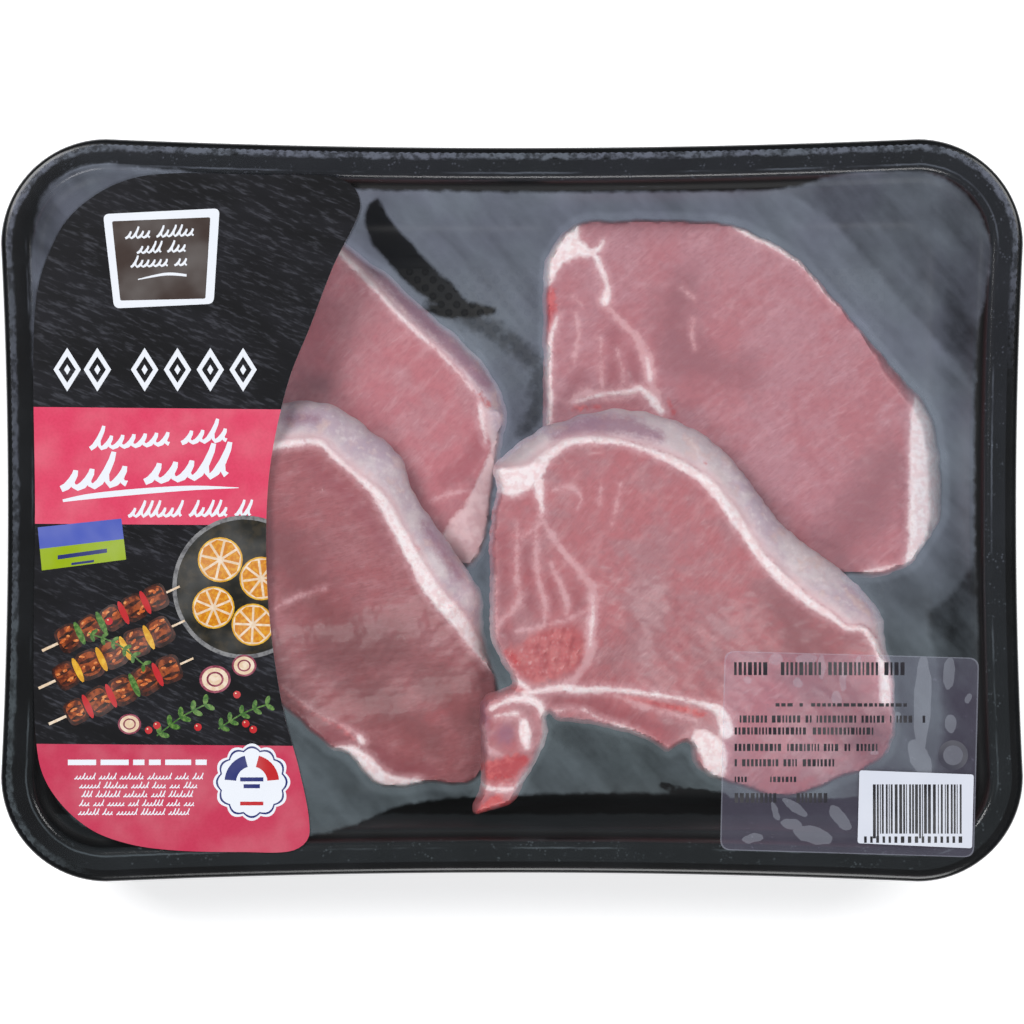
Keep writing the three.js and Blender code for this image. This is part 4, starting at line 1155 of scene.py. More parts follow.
# Painted highlight: a thin white stroke near the back wall, a lamp's reflection along a wrinkle in the
# film.
top_glint_stroke = [[(-48, 95.3, 0.15), (-20, 95.8, 0.3), (10, 95.5, 0.3), (40, 95.2, 0.3), (61, 95.2, 0.1)]]


def film_gloss():
    """The film's upper face: clear, with a mirror that grows stronger at flat angles."""
    made, paint = new_paint("film_gloss")
    point = place(paint)
    waves = noise(stretched(point, 8, (0.03, 0.08, 0.05)), 1.0, 2.0)
    normal = bump(waves, 0.5, 1.2)
    gloss = paint.node(
        "ShaderNodeBsdfGlossy", None, {"Color": (1, 1, 1, 1), "Roughness": 0.06, "Normal": normal}
    )
    clear = paint.node("ShaderNodeBsdfTransparent", None, {"Color": (0.93, 0.92, 0.92, 1)})
    inner_side = paint.node("ShaderNodeNewGeometry", output=6)
    mirror = paint.node("ShaderNodeFresnel", None, {"IOR": 1.45, "Normal": normal}) * (1 - inner_side)
    finish(paint, paint.node("ShaderNodeMixShader", None, {0: mirror, 1: clear, 2: gloss}))
    return made


def mist_parts(paint):
    """What the parts of the mist share: the place, distances and noises."""
    point = place(paint)
    across, up = (
        paint.node("ShaderNodeSeparateXYZ", None, {"Vector": point}, output=axis) for axis in (0, 1)
    )
    ragged = noise(point, 0.3, 4.0, 0.6)
    return SimpleNamespace(
        point=point,
        across=across,
        up=up,
        ragged=ragged,
        sway=(ragged - 0.5) * 6.0,
        broad=noise(point, 0.03, 3.0),
        wisps=noise(stretched(point, 48, (0.03, 0.12, 0.1)), 1.0, 3.0),
        left_edge=1 - smooth(across, -142.0, -122.0),
        inset=field(paint, "inset"),
        meat=field(paint, "meat"),
    )


def mist_thinning(mist):
    """How much the mist thins out: to the right and front, at both ends, in the left corner."""
    beyond = 1 - smooth(mist.meat + mist.sway * 0.2, -15.0, -12.5)
    thinner = smooth(mist.across, 45.0, 85.0) * (0.1 * beyond - 0.02)
    thinner = thinner + 0.07 * smooth(mist.across, 124.0, 130.0)
    thinner = thinner + 0.1 * (1 - smooth(mist.up, -70.0, 10.0))
    return thinner + 0.09 * mist.left_edge + 0.08 * smooth(mist.up - mist.across, 205.0, 232.0)


def window_mist(paint, mist):
    """The mist over the meat and round it, from 0 to 1, with painted light at each chop's edge."""
    misted = smooth(field(paint, "misted") + mist.sway * 0.3, -0.6, 0.9)
    wiped = smooth(field(paint, "wiped") + mist.sway * 0.3, -0.8, 0.8)
    faint = smooth(field(paint, "faint") + mist.sway * 1.2, -2.0, 2.0)
    front = smooth(field(paint, "front") + mist.sway * 0.35, -0.4, 0.4)
    # Painted light: a thin ring of extra mist along each chop's outline pales the shade on its rounded
    # edge.
    painted_light_ring = smooth(mist.meat, -2.2, -0.4) * (1 - smooth(mist.meat, 0.4, 1.4))
    drift = 0.22 * (mist.broad - 0.5) + 0.3 * (mist.wisps - 0.5) + 0.08 * (mist.ragged - 0.5)
    strength = 0.27 - mist_thinning(mist) + 0.07 * painted_light_ring + drift
    strength = strength * misted * (1 - wiped * 0.96) * (1 - faint * 0.6) * (1 - front * 0.97)
    on_meat = smooth(mist.meat + mist.sway * 0.2, 0.5, 2.0)
    cleared = on_meat * (0.8 - 0.55 * smooth(mist.across, 112.0, 121.0))
    return (strength * (1 - cleared)).math("MAXIMUM", 0.0)


def weld_marks_and_glint(paint, mist):
    """Drops and a painted highlight line along the weld, torn bits at the film's edge, a haze by the front
    wall.
    """
    seal = smooth(mist.inset, 3.4, 3.8) * (1 - smooth(mist.inset, 9.6, 10.4))
    drops = paint.node("ShaderNodeTexVoronoi", None, {"Vector": mist.point, "Scale": 0.9})
    dotted = (1 - smooth(drops, 0.1, 0.4)) * smooth(mist.ragged, 0.5, 0.62)
    shreds = smooth(noise(mist.point, 0.35, 6.0, 0.75), 0.4, 0.56)
    left = smooth(mist.across * -1.0, 120.0, 146.0) * 0.6
    loose = smooth(mist.up, 30.0, 95.0).math("MAXIMUM", left)
    outer = 1 - smooth(mist.inset + (mist.ragged - 0.5) * 2.4, 3.0, 4.0)
    outer = outer * (0.25 + 0.75 * shreds) * loose
    # Painted highlight: a pale line along the weld's inner edge, where the rim's bead catches the light.
    line = 1 - smooth((mist.inset + (mist.ragged - 0.5) * 0.6 - 7.6).math("ABSOLUTE"), 0.1, 0.4)
    haze = (1 - smooth(mist.up + mist.sway * 0.4, -89.6, -88.6)) * smooth(mist.inset, 12.0, 13.0)
    marks = 0.02 * haze + outer * 0.26
    marks = marks + seal * (1 - mist.left_edge * 0.9) * (0.025 + 0.1 * dotted)
    return marks + line * smooth(mist.broad, 0.42, 0.6) * 0.14


def film_mist():
    """The film's lower face: grey mist as thick as its masks say, a painted highlight, else clear."""
    made, paint = new_paint("film_mist")
    mist = mist_parts(paint)
    # Painted highlight: the white stroke along the wrinkle, drawn almost opaque over the mist.
    painted_glint = smooth(field(paint, "painted_glint") + (mist.ragged - 0.5) * 0.3, -0.25, 0.15)
    strength = window_mist(paint, mist) + weld_marks_and_glint(paint, mist)
    tint = blend(smooth(mist.up, -70.0, 20.0), rgb(158, 176, 184), rgb(174, 182, 206))
    tint = blend(smooth(mist.broad, 0.35, 0.65) * 0.5, tint, rgb(168, 184, 196))
    look = {
        "Base Color": blend(painted_glint, tint, rgb(240, 240, 240)),
        "Roughness": 0.5,
        "Alpha": strength.math("MAXIMUM", painted_glint * 0.85),
    }
    finish_principled(paint, look)
    return made


print("streaks", len(wiped_streak + faint_streak), "clear strokes by the front wall", len(front_clear))


# %% Film
def skip_light_rays(made):
    """Lets light pass through a clear sheet without asking its material, which halves the time."""
    made.visible_shadow = False
    made.visible_diffuse = False


MIST_LOOP = smooth_line(
    [
        (-141, 62), (-140.6, 80), (-136.5, 94), (-126, 101), (-108, 100.5), (-60, 95), (-20, 93.6),
        (40, 93.4), (80, 94.5), (96, 98.4), (112, 99.6), (124, 98.4), (132.5, 93), (138, 85),
        (140.4, 76), (139.4, 66), (136.6, 52), (135.6, 0), (136.4, -50), (132, -82), (112, -90),
        (90, -84.5), (60, -84.6), (46, -83.2), (20, -83), (-4, -83.8), (-20, -84.6), (-34, -87),
        (-46, -92), (-60, -95.5), (-100, -97), (-126, -92), (-137, -76), (-138.5, -50), (-138.5, 0),
    ],
    2.0, True,
)

film_rings = [tray_ring(inset, 1.0, 20, 60) for inset in (3.6, 4.6, 5.6, 6.8, 8.0, 9.4)]
film_inner = np.vstack(film_rings + [lattice(tray_ring(9.4), 2.2, 1.2)])
film_flat, film_faces = filled(scalloped, film_inner)
film_low = film_height(film_flat)
film_points, film_all = two_sided(film_flat, film_faces, film_low, film_low + FILM_THICKNESS)


def signed_depth(points, loop):
    """Distance to a closed loop, positive inside it."""
    distance = nearest(points, loop, True)[0]
    return np.where(inside(points, loop), distance, -distance)


TOUCHED_SHARE = 0.98
chop_loops = [back_left_loop, front_left_loop, back_right_loop, front_right_loop]
touched = [signed_depth(film_flat, loop[::2] * TOUCHED_SHARE) for loop in chop_loops]
film_fields = {
    "meat": np.max(touched, axis=0),
    "misted": signed_depth(film_flat, MIST_LOOP),
    "wiped": stroke_depth(film_flat, wiped_streak),
    "faint": stroke_depth(film_flat, faint_streak),
    "front": stroke_depth(film_flat, front_clear),
    "painted_glint": stroke_depth(film_flat, top_glint_stroke),
    "inset": nearest(film_flat, tray_ring(0.0), True)[0],
}
film_fields = {key: np.concatenate([values, values]) for key, values in film_fields.items()}
film_inks = np.where(np.arange(len(film_all)) < len(film_faces), 0, 1)
clear_film = piece(
    "clear_film", film_points, film_all, [film_gloss(), film_mist()], ["top_film"],
    film_fields, film_inks,
)
skip_light_rays(clear_film)

# %% [markdown]
# ## Printed labels
# A label is flat fields of one colour each, printed one over another on a sheet that follows the
# film. So the sheet is cut like a mosaic: every printed shape's outline becomes edges of one
# triangulation, and each triangle takes the ink of the topmost shape that it lies in. The edges
# of the print are then true edges of the mesh and stay sharp at any distance. Lines of print are
# only bars and scribbles, and the picture is a simple still life.

# %% Print shapes
LABEL_GAP = 0.15
LABEL_THICKNESS = 0.2
LONGEST_EDGE = 4.0


def rectangle(left, bottom, right, top):
    """An upright rectangle, counterclockwise."""
    return np.array([(left, bottom), (right, bottom), (right, top), (left, top)], float)


def oval(x, y, wide, high=None, angle=0.0, count=24):
    """An oval by its two radii, turned by an angle in degrees."""
    turn = np.linspace(0, math.tau, count, endpoint=False)
    across, up = wide * np.cos(turn), (high or wide) * np.sin(turn)
    c, s = math.cos(math.radians(angle)), math.sin(math.radians(angle))
    return np.column_stack([x + c * across - s * up, y + s * across + c * up])


def rounded(corners, radius):
    """A polygon with its corners rounded, given counterclockwise."""
    corners = np.asarray(corners, float)
    loop = []
    for before, corner, after in zip(np.roll(corners, 1, 0), corners, np.roll(corners, -1, 0)):
        start = corner + (before - corner) * radius / np.linalg.norm(before - corner)
        end = corner + (after - corner) * radius / np.linalg.norm(after - corner)
        t = np.linspace(0, 1, 7)[:, None]
        loop.append((1 - t) ** 2 * start + 2 * t * (1 - t) * corner + t**2 * end)
    return np.vstack(loop)


def ribbon(line):
    """Short overlapping pieces of a brush stroke through [x, y, half width] points."""
    line = np.asarray(line, float)
    run = np.gradient(line[:, :2], axis=0)
    across = np.column_stack([-run[:, 1], run[:, 0]])
    across *= (line[:, 2] / np.maximum(np.linalg.norm(run, axis=1), 1e-6))[:, None]
    left, right = line[:, :2] + across, line[:, :2] - across
    return [
        np.array([left[i], left[i + 1], right[i + 1], right[i]]) for i in range(len(line) - 1)
    ]


def scribble(start, end, height, pitch, half, seed, tall=1.9):
    """Brush loops that stand for a line of handwriting, in groups like words."""
    draw = random.Random(seed)
    start, end = np.array(start, float), np.array(end, float)
    length = np.linalg.norm(end - start)
    along = (end - start) / length
    strokes, x = [], 0.0
    while x + 2 * pitch < length:
        loops = min(draw.randint(3, 7), int((length - x) / pitch))
        t = np.linspace(0, loops, loops * 9 + 1)
        tops = np.array([tall if draw.random() < 0.3 else 1.0 for _ in range(loops + 1)])
        up = height * tops[np.floor(t).astype(int)] * (1 - np.cos(t * math.tau)) / 2
        forth = x + pitch * (t + 0.26 * np.sin(t * math.tau)) + 0.35 * up
        weight = half * (0.75 + 0.35 * np.sin(t * math.tau + 0.6))
        spots = start + forth[:, None] * along
        strokes += ribbon(np.column_stack([spots[:, 0], spots[:, 1] + up, weight]))
        x += pitch * (loops + 1.1)
    return strokes


def bars(left, bottom, right, height, shortest, longest, gap, seed):
    """A row of small bars that stands for a line of printed words."""
    draw = random.Random(seed)
    row, x = [], left
    while x < right - shortest:
        width = min(draw.uniform(shortest, longest), right - x)
        row.append(rectangle(x, bottom, x + width, bottom + height))
        x += width + gap
    return row


def split(loop):
    """The same loop with its long edges split, so that the sheet can follow the film."""
    parts = []
    for a, b in zip(loop, np.roll(loop, -1, 0)):
        steps = max(1, math.ceil(np.linalg.norm(b - a) / LONGEST_EDGE))
        parts.append(np.linspace(a, b, steps, endpoint=False))
    return np.vstack(parts)


def cut_sheet(loop, shapes):
    """Triangles inside a loop, with the outlines of all shapes among their edges."""
    loops = [loop] + [split(np.asarray(part, float)[:, :2]) for _, parts in shapes for part in parts]
    points = [Vector(p) for part in loops for p in part]
    edges, start = [], 0
    for part in loops:
        edges += [(start + i, start + (i + 1) % len(part)) for i in range(len(part))]
        start += len(part)
    points += [Vector(p) for p in lattice(loop, LONGEST_EDGE, 0.6)]
    flat, _, faces, *_ = delaunay_2d_cdt(points, edges, [], 1, 1e-4)
    flat, faces = np.array([tuple(v) for v in flat]), np.array([tuple(f) for f in faces])
    faces = faces[inside(flat[faces].mean(1), loop)]
    used, faces = np.unique(faces, return_inverse=True)
    return flat[used], faces.reshape(-1, 3)


def topmost(middles, names, shapes):
    """For each triangle's middle, the index of the ink that lies on top there."""
    ink = np.zeros(len(middles), int)
    for key, parts in shapes:
        for part in parts:
            part = np.asarray(part)[:, :2]
            low, high = part.min(0), part.max(0)
            near = np.flatnonzero(((middles >= low) & (middles <= high)).all(1))
            ink[near[inside(middles[near], part)]] = names.index(key)
    return ink


def mosaic(name, loop, layer, inks, shapes, node, under):
    """A label: `inks` are materials by name, `shapes` are (ink, [loops]) from below to the top."""
    flat, faces = cut_sheet(loop, shapes)
    names = list(inks)
    ink = topmost(flat[faces].mean(1), names, shapes)
    bottom = film_height(flat) + FILM_THICKNESS + LABEL_GAP + layer * (LABEL_GAP + LABEL_THICKNESS)
    solid, all_faces = two_sided(flat, faces, bottom, bottom + LABEL_THICKNESS)
    all_inks = np.concatenate([ink, np.full(len(all_faces) - len(ink), names.index(under))])
    return piece(name, solid, all_faces, list(inks.values()), [node], None, all_inks)


# %% [markdown]
# Ink on glossy paper is a flat colour with a faint drift and a little grain. The slate
# ground of the front label has pale scratches that all run the same way, and the roast and the
# gold of its picture are mottled like browned food.

# %% Inks
def ink(name, colour, other=None, scale=1.2, low=0.42, high=0.62):
    """A printing ink, mottled with another colour where one is given."""
    made, paint = new_paint("ink_" + name)
    point = place(paint)
    cloud = noise(point, scale, 4.0, 0.6)
    drift = noise(point, 0.08, 2.0)
    base = blend(smooth(cloud, low, high), rgb(*colour), rgb(*(other or colour)))
    base = blend(smooth(drift, 0.3, 0.8) * 0.07, base, rgb(255, 255, 255))
    look = {
        "Base Color": base,
        "Roughness": 0.3 + 0.15 * cloud,
        "Specular IOR Level": 0.25,
        "Normal": bump(noise(point, 1.1), 0.06, 0.2),
    }
    finish_principled(paint, look)
    return made


def slate_ink():
    """The label's dark ground with its slanting scratches."""
    made, paint = new_paint("ink_slate")
    point = place(paint)
    scratch = noise(stretched(point, 22, (0.2, 0.95, 1.0)), 1.0, 4.0, 0.62)
    broad = noise(stretched(point, 22, (0.03, 0.1, 1.0)), 1.0, 2.0)
    base = blend(smooth(broad, 0.3, 0.75), rgb(17, 17, 20), rgb(27, 27, 32))
    base = blend(smooth(scratch + 0.2 * broad, 0.6, 0.82) * 0.6, base, rgb(70, 71, 79))
    look = {"Base Color": base, "Roughness": 0.35 + 0.1 * scratch, "Specular IOR Level": 0.2}
    finish_principled(paint, look)
    return made


paper_inks = {
    "slate": slate_ink(),
    "pink": ink("pink", (214, 64, 98), (209, 60, 93)),
    "rose": ink("rose", (190, 54, 84), (186, 50, 80)),
    "white": ink("white", (226, 230, 238)),
    "brown": ink("brown", (60, 48, 44)),
    "blue": ink("blue", (72, 88, 176)),
    "navy": ink("navy", (36, 44, 108)),
    "red": ink("red", (184, 34, 40)),
    "green": ink("green", (144, 168, 6)),
    "rim": ink("rim", (128, 128, 130), (84, 84, 88), 0.4),
    "bowl": ink("bowl", (24, 24, 20), (44, 38, 26), 0.3),
    "roast": ink("roast", (84, 32, 16), (150, 70, 28), 0.5, 0.42, 0.6),
    "char": ink("char", (34, 14, 10), (70, 28, 16), 0.7),
    "glaze": ink("glaze", (188, 90, 34), (214, 140, 82), 0.9, 0.45, 0.6),
    "gold": ink("gold", (204, 146, 24), (222, 176, 52), 0.5),
    "amber": ink("amber", (196, 118, 16), (214, 150, 34), 0.9),
    "leaf": ink("leaf", (52, 96, 34), (98, 134, 62), 0.9),
    "cream": ink("cream", (216, 190, 160), (228, 210, 190), 0.5),
    "plum": ink("plum", (120, 44, 66), (154, 78, 96), 0.6),
}
print("inks", ", ".join(paper_inks))

# %% [markdown]
# The front label reads from the back of the pack to the front: a slate field with a brown badge, a
# pink band, a picture, and a pink foot with small print and a rosette.

# %% Front label
PRINTED_LABEL = [
    (-139, 63.5), (-134.6, 77.3), (-129.7, 85.6), (-121.4, 92.6), (-111.7, 97), (-100, 98.6),
    (-75, 98.2), (-51, 97.3), (-46.2, 94.4), (-44.4, 89.4), (-45.8, 84.6), (-52, 72.3),
    (-59.4, 53.2), (-65.3, 38.5), (-70.6, 15), (-72, -2.6), (-71.7, -23.2), (-70, -40.9),
    (-66.7, -60), (-62.3, -76.1), (-59.4, -90.8), (-59.7, -96.1), (-63.6, -99.4), (-80, -100),
    (-100.5, -99.4), (-112.3, -97.6), (-122.6, -93.8), (-131.4, -86.6), (-137.2, -77.6),
    (-139.4, -65.9), (-139.6, 0),
]
BAND_TOP = 30.0
PICTURE_TOP = -4.2
PICTURE_BOTTOM = -68.6

pink_band = [
    (-145, BAND_TOP + 0.3), (-145, PICTURE_TOP + 0.3), (-60, PICTURE_TOP - 0.3),
    (-60, BAND_TOP - 0.5),
]
rose_foot = [(-145, PICTURE_BOTTOM + 0.3), (-145, -105), (-55, -105), (-55, PICTURE_BOTTOM - 0.5)]
fields_of_colour = [("pink", [pink_band]), ("rose", [rose_foot])]
flourish = [(-109.5, 67.6, 0.15), (-100.9, 69.2, 0.42), (-95.3, 68.8, 0.35)]
badge = [
    ("white", [rounded([(-116.5, 59.1), (-87.4, 60.5), (-85.6, 88.4), (-119.7, 86.7)], 1.8)]),
    ("brown", [rounded([(-114.7, 61.4), (-89.8, 62.0), (-88.3, 85.8), (-117.1, 84.6)], 0.6)]),
    ("white", scribble((-113.2, 79.6), (-92.0, 80.6), 2.0, 1.8, 0.34, 3, 1.7)),
    ("white", scribble((-109.8, 75.3), (-95.2, 75.9), 2.0, 1.75, 0.34, 8, 1.7)),
    ("white", scribble((-111.6, 71.2), (-94.0, 71.9), 2.0, 1.8, 0.34, 12, 1.7)),
    ("white", ribbon(smooth_line(flourish, 0.8, False))),
]


def lozenge(x, y, wide, high, weight):
    """A diamond ring with a small diamond in it."""
    outer, inner = oval(x, y, wide, high, 0, 4), oval(x, y, wide - weight, high - 1.7 * weight, 0, 4)
    ring = [np.array([outer[i], outer[(i + 1) % 4], inner[(i + 1) % 4], inner[i]]) for i in range(4)]
    return ring + [oval(x, y, 0.9, 1.5, 0, 4)]


TITLE_Y = 41.2
title_spots = [-130.2, -121.4, -107.6, -98.0, -88.4, -78.8]
title = [("white", [part for x in title_spots for part in lozenge(x, TITLE_Y, 4.0, 6.4, 1.5)])]
underline = [(-131.5, 2.8, 0.4), (-123.4, 4.1, 0.8), (-94.8, 6.5, 0.7), (-80.1, 6.6, 0.1)]
script = [
    ("white", scribble((-123.5, 18), (-82, 20.6), 3.5, 3.3, 0.68, 5)),
    ("white", scribble((-132, 6.2), (-82.5, 10.4), 5.2, 4.8, 1.0, 21)),
    ("white", ribbon(smooth_line(underline, 1.5, False))),
    ("white", scribble((-112.4, -1.8), (-76.0, -1.5), 2.5, 2.2, 0.48, 34)),
]
print("badge", len(badge), "title", len(title_spots), "script", len(script))

# %% [markdown]
# The picture is a slate table seen from above: three skewers of roasted cubes, a bowl of citrus
# wheels that the label's edge cuts off, onion rings, leaves and berries. All of it is ovals,
# rounded squares and brush strokes, and the mottled inks do the rest.

# %% Picture
BOWL = (-78.5, -22.5)
draw = random.Random(5)
picture = [
    ("rim", [oval(*BOWL, 21, 21, 0, 60)]),
    ("bowl", [oval(*BOWL, 19.8, 19.8, 0, 60)]),
]


def wheel(x, y, radius, turned):
    """A slice of citrus: rind, pith and eight wedges."""
    wedges = []
    for k in range(8):
        middle = math.radians(turned + 45 * k)
        spread = [(0.14 * radius, 0), (0.84 * radius, -0.33), (0.9 * radius, 0), (0.84 * radius, 0.33)]
        wedges.append([(x + r * math.cos(middle + t), y + r * math.sin(middle + t)) for r, t in spread])
    return [("gold", [oval(x, y, radius)]), ("cream", [oval(x, y, radius * 0.93)]), ("amber", wedges)]


def onion(x, y, radius):
    """Rings of a sliced onion, one in another."""
    rings = [("plum", 1.0), ("cream", 0.84), ("plum", 0.55), ("cream", 0.42)]
    return [(key, [oval(x, y, radius * share, radius * share * 0.88)]) for key, share in rings]


def roasted_cube(spot, along, angle, size):
    """A cube with two dark grill marks and glaze on it, turned a little out of line."""
    across = np.array([-along[1], along[0]])
    half = size * draw.uniform(0.9, 1.1)
    lean = math.radians(draw.uniform(-9, 9))
    u = along * math.cos(lean) + across * math.sin(lean)
    v = across * math.cos(lean) - along * math.sin(lean)
    corners = [spot + half * (a * u * 0.86 + b * v) for a, b in [(-1, -1), (1, -1), (1, 1), (-1, 1)]]
    face = [spot + 0.25 * v + 0.8 * (c - spot) for c in corners]
    shapes = [("char", [rounded(corners, half * 0.6)]), ("roast", [rounded(face, half * 0.6)])]
    for share in (-0.42, 0.3):
        middle = spot + share * half * v
        mark = np.vstack([middle - 0.62 * half * u, middle, middle + 0.62 * half * u])
        shapes.append(("char", ribbon(np.column_stack([mark, [0.2, 0.62, 0.2]]))))
    for _ in range(4):
        x, y = spot + half * (draw.uniform(-0.5, 0.5) * u + draw.uniform(-0.55, 0.7) * v)
        wide, turned = draw.uniform(0.5, 1.2), angle + draw.uniform(-40, 40)
        shapes.append(("glaze", [oval(x, y, wide, 0.4, turned, 10)]))
    return shapes


def skewer(start, end, cubes, size):
    """A stick with roasted cubes, a slice of pepper between each two."""
    start, end = np.array(start, float), np.array(end, float)
    along = (end - start) / np.linalg.norm(end - start)
    angle = math.degrees(math.atan2(along[1], along[0]))
    stick = np.vstack([start - 5 * along, end + 4 * along])
    shapes = [("cream", ribbon(np.column_stack([stick, [0.4, 0.3]])))]
    for k in range(cubes):
        shapes += roasted_cube(start + (end - start) * (k + 0.5) / cubes, along, angle, size)
        if k:
            x, y = start + (end - start) * k / cubes
            pepper = oval(x, y, 0.95, size * 0.95, angle, 14)
            shapes.append((draw.choice(["leaf", "red", "gold"]), [pepper]))
    return shapes


picture += wheel(-85.5, -14.5, 6.6, 10) + wheel(-73.5, -20, 6.4, 30)
picture += wheel(-87.5, -28.5, 6.2, 0) + wheel(-76, -33.5, 6.2, 20)
picture += skewer((-133, -39), (-101, -24), 5, 3.9)
picture += skewer((-134, -50), (-99.5, -34), 5, 4.1)
picture += skewer((-131, -60.5), (-97, -45), 5, 4.0)
picture += onion(-87, -49.5, 4.6) + onion(-78.5, -45.5, 3.6) + onion(-112, -62.6, 3.4)


def sprig(start, end, leaves, size):
    """A stem with pairs of small leaves."""
    start, end = np.array(start, float), np.array(end, float)
    bend = (start + end) / 2 + np.array([0.6, 1.2])
    stem = smooth_line(np.vstack([start, bend, end]), 0.8, False)
    shapes = [("leaf", ribbon(np.column_stack([stem, np.full(len(stem), 0.22)])))]
    for k in np.linspace(1, len(stem) - 1, leaves).astype(int):
        run = math.degrees(math.atan2(*(stem[k] - stem[k - 1])[::-1]))
        for turn in (55, -50):
            reach = math.radians(run + turn)
            x, y = stem[k] + size * np.array([math.cos(reach), math.sin(reach)])
            shapes.append(("leaf", [oval(x, y, size, size * 0.5, run + turn, 10)]))
    return shapes


picture += sprig((-124, -36), (-108, -45), 6, 1.2)
picture += sprig((-104, -66), (-90, -57), 5, 1.6)
picture += sprig((-86, -64), (-72, -57), 5, 1.4)
berries = [
    (-118, -32.5), (-104, -63), (-106.4, -64.4), (-78, -62.5), (-75.8, -64.2), (-92, -63.5),
    (-80.6, -54),
]
for x, y in berries:
    picture.append(("red", [oval(x, y, 1.1)]))
    picture.append(("cream", [oval(x - 0.35, y + 0.4, 0.25, 0.25, 0, 8)]))
print("picture", len(picture), "shapes")

# %% [markdown]
# The tag is two plain fields, the small print is a row of bars over lines of scribble, and the
# rosette is a scalloped disc with a blue and a red wedge.

# %% Tag, foot and rosette
FIRST_SMALL_LINE = -78.7
SMALL_LINE_PITCH = 2.6

tag_left = np.array([(-138.8, -5.0), (-137.6, -17.6)])
tag_right = np.array([(-114.4, -2.4), (-113.0, -14.4)])
left_middle, right_middle = tag_left.mean(0), tag_right.mean(0)
tag = [
    ("blue", [[tag_left[0], left_middle, right_middle, tag_right[0]]]),
    ("green", [[left_middle, tag_left[1], tag_right[1], right_middle]]),
    ("navy", [[(-133, -13.2), (-133, -14.4), (-118.6, -12.4), (-118.6, -11.2)]]),
    ("navy", [[(-129, -15.4), (-129, -16.1), (-122.4, -15.2), (-122.4, -14.5)]]),
]
foot = [("white", bars(-130, -74.6, -89.4, 1.6, 3.0, 8.5, 1.3, 2))]
small_lines = [(-128.1, -90.1), (-126.7, -91.5), (-126, -92.4), (-126.7, -92), (-127, -92.4)]
for k, (left, right) in enumerate(small_lines):
    y = FIRST_SMALL_LINE - SMALL_LINE_PITCH * k
    foot.append(("white", scribble((left, y), (right, y), 1.0, 1.0, 0.17, 40 + k)))

ROSETTE = (-76.2, -79.6)
turn = np.linspace(0, math.tau, 120, endpoint=False)


def scalloped_disc(radius, depth):
    """A disc with twelve bulges, round the rosette's middle."""
    reach = radius + depth * np.abs(np.cos(turn * 6))
    return np.column_stack([ROSETTE[0] + reach * np.cos(turn), ROSETTE[1] + reach * np.sin(turn)])


def wedge(radius, first, last):
    """A slice of a disc between two angles in degrees."""
    angles = np.radians(np.linspace(first, last, 12))
    arc = np.column_stack([np.cos(angles), np.sin(angles)]) * radius + ROSETTE
    return np.vstack([[ROSETTE], arc])


rosette = [
    ("white", [scalloped_disc(10.2, 1.1)]),
    ("navy", [scalloped_disc(9.5, 1.0)]),
    ("white", [scalloped_disc(9.0, 0.9)]),
    ("navy", [wedge(8.0, 105, 175)]),
    ("red", [wedge(8.0, 5, 75)]),
    ("white", [oval(*ROSETTE, 4.6)]),
    ("navy", [rectangle(-79.6, -79.4, -72.8, -78.2), rectangle(-78.6, -81.4, -73.8, -80.2)]),
    ("red", [rectangle(-79.6, -86.4, -72.8, -85.3)]),
]
front_print = fields_of_colour + badge + title + script + picture + tag + foot + rosette
front_loop = counterclockwise(smooth_line(PRINTED_LABEL, 1.5, True))
mosaic(
    "front_label", front_loop, 0, paper_inks, front_print, "printed_label", "white"
)

# %% [markdown]
# The clear label is a see-through film with black print. Its glue traps air in little puddles
# that look paler than the rest, and its cut edge shows as a thin pale line.

# %% Clear label
def clear_stock(name, milk, colour):
    """Clear film with glue: milky by a share, with specks of trapped air."""
    made, paint = new_paint(name)
    point = place(paint)
    specks = smooth(noise(point, 0.9, 3.0), 0.64, 0.7) * smooth(noise(point, 0.08), 0.45, 0.6)
    alpha = milk + 0.05 * noise(point, 0.1) + 0.12 * specks
    look = {"Base Color": colour, "Roughness": 0.35, "Alpha": alpha}
    finish_principled(paint, look)
    return made


def nothing():
    """The clear label's underside, which only lets light through."""
    made, paint = new_paint("clear_under")
    clear = paint.node("ShaderNodeBsdfTransparent", None, {"Color": (0.993, 0.993, 0.995, 1)})
    finish(paint, clear)
    return made


film_inks = {
    "clear": clear_stock("clear_stock", 0.09, rgb(172, 166, 196)),
    "puddle": clear_stock("air_puddle", 0.24, rgb(184, 186, 204)),
    "under": nothing(),
    "black": ink("black", (30, 28, 36)),
    "edge": ink("edge", (58, 58, 70)),
}
CLEAR_LABEL = [(60.9, -99.4), (135.2, -101.6), (136.7, -43.2), (62.3, -41.2)]
WORN_SHARE = 0.14
RING_MARK = (129.1, -71.7)
clear_loop = rounded(CLEAR_LABEL, 3)
words = [
    (65.1, -48.3, 115, 3.8, 0.5, 1.3, 0.55), (77.2, -57.5, 116, 1.0, 0.6, 1.8, 0.5),
    (65.2, -62.2, 121, 2.1, 0.4, 1.1, 0.45), (65.2, -65.7, 106, 2.1, 0.4, 1.1, 0.45),
    (65.2, -70.5, 107, 2.1, 0.4, 1.1, 0.45), (65.2, -75.0, 95.4, 2.1, 0.4, 1.1, 0.45),
    (65.2, -79.6, 69, 1.6, 0.4, 0.9, 0.45), (75.6, -79.6, 83.4, 1.6, 0.4, 0.9, 0.45),
    (65.2, -85.6, 77.4, 2.8, 0.5, 1.2, 0.5), (83.3, -85.6, 93, 2.8, 0.5, 1.2, 0.5),
]
draw = random.Random(17)
ticks = []
for row, line in enumerate(words):
    marks = bars(*line, 60 + row)
    ticks += [mark for mark in marks if draw.random() > WORN_SHARE]
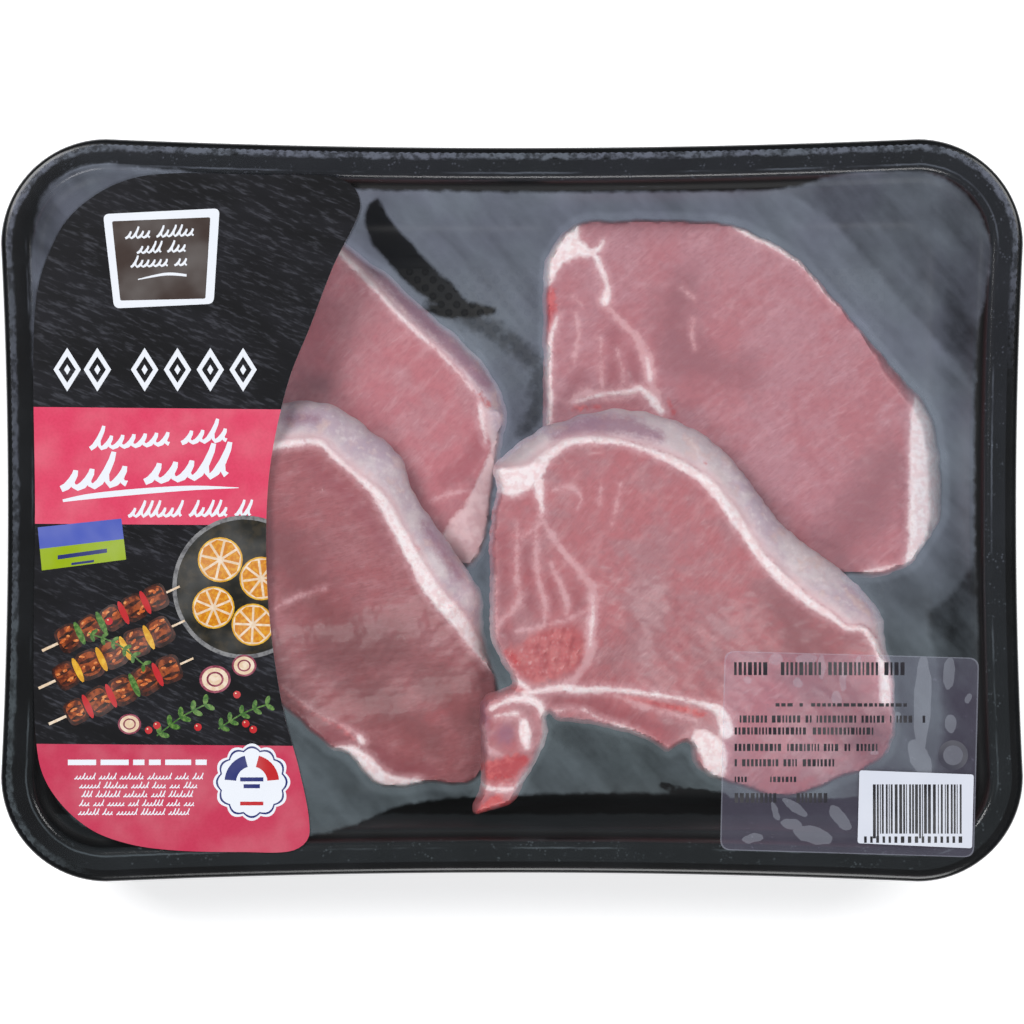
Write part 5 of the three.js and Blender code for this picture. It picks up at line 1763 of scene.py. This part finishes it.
ring_mark = [("edge", [oval(*RING_MARK, 4.4)]), ("puddle", [oval(*RING_MARK, 2.9)])]
border = [("puddle", [clear_loop]), ("clear", [clear_loop * 0.99 + clear_loop.mean(0) * 0.01])]
puddles = []
for x, y, wide, high, angle in [
    (120.1, -56.5, 2.5, 14.6, -2), (127.9, -47.7, 1.7, 4.9, -4), (119.4, -72.7, 2.8, 6.0, 24),
    (77.4, -43.6, 1.9, 1.7, 0), (86.2, -43.6, 3.3, 1.5, 0), (90.7, -46.0, 1.1, 3.6, 0),
    (97.0, -48.7, 1.1, 4.2, 0), (101.5, -44.8, 0.9, 2.4, 0), (95.1, -55.0, 1.5, 2.1, 10),
    (69.0, -49.7, 1.3, 1.0, 0), (83.8, -50.6, 1.3, 1.4, 0), (128.4, -62.4, 1.7, 2.8, 0),
    (133.6, -55.0, 0.9, 1.6, 0), (82.8, -86.9, 4.4, 1.4, -35), (81.8, -91.8, 3.2, 1.5, -10),
    (88.0, -95.0, 6.0, 2.5, -14), (96.0, -90.0, 4.6, 1.9, -50), (70.5, -96.0, 3.0, 1.3, 10),
    (77.0, -88.0, 0.9, 2.8, 20), (113.0, -60.0, 0.8, 1.2, 0), (106.0, -71.0, 1.4, 0.8, 0),
]:
    rim = oval(x, y, wide, high, angle)
    puddles.append(rim + 0.25 * np.column_stack([wobble(rim, 1, 4, 5), wobble(rim, 1, 4, 6)]))
clear_print = border + [("puddle", puddles), ("black", ticks)] + ring_mark
clear_label = mosaic(
    "clear_label_film", clear_loop, 0, film_inks, clear_print, "clear_label", "under"
)
skip_light_rays(clear_label)

# %% [markdown]
# The bar code is a row of bars of one to three units, drawn from a seeded dice so that it says
# nothing, on a white sticker that lies on the clear label.

# %% Bar code
BARCODE_LABEL = [(101.1, -97.4), (134.6, -98.9), (135.1, -77.3), (101.7, -76.1)]
CODE_LEFT, CODE_RIGHT = 105.6, 131.6
CODE_BOTTOM, CODE_TOP = -94.6, -80.2
LONGER_BARS = (0, 1, 14, 15)
LONGER_BY = 1.4
UNIT = 0.29

draw = random.Random(88)
stripes, x = [], CODE_LEFT
while x < CODE_RIGHT:
    width = UNIT * draw.choice([1, 2, 2, 3])
    longer = LONGER_BY if len(stripes) in LONGER_BARS else 0.0
    stripes.append(rectangle(x, CODE_BOTTOM - longer, x + width, CODE_TOP))
    x += width + UNIT * draw.choice([1, 1, 1.5, 2])
code_row = bars(103.0, -97.3, 132.4, 1.9, 0.7, 1.1, 1.0, 4)
barcode_inks = {"paper": ink("paper", (206, 210, 222)), "bars": ink("bars", (22, 22, 28))}
barcode_loop = rounded(BARCODE_LABEL, 0.8)
code_print = [("bars", stripes), ("bars", code_row)]
mosaic(
    "barcode_sticker", barcode_loop, 1, barcode_inks, code_print, "barcode_label",
    "paper",
)
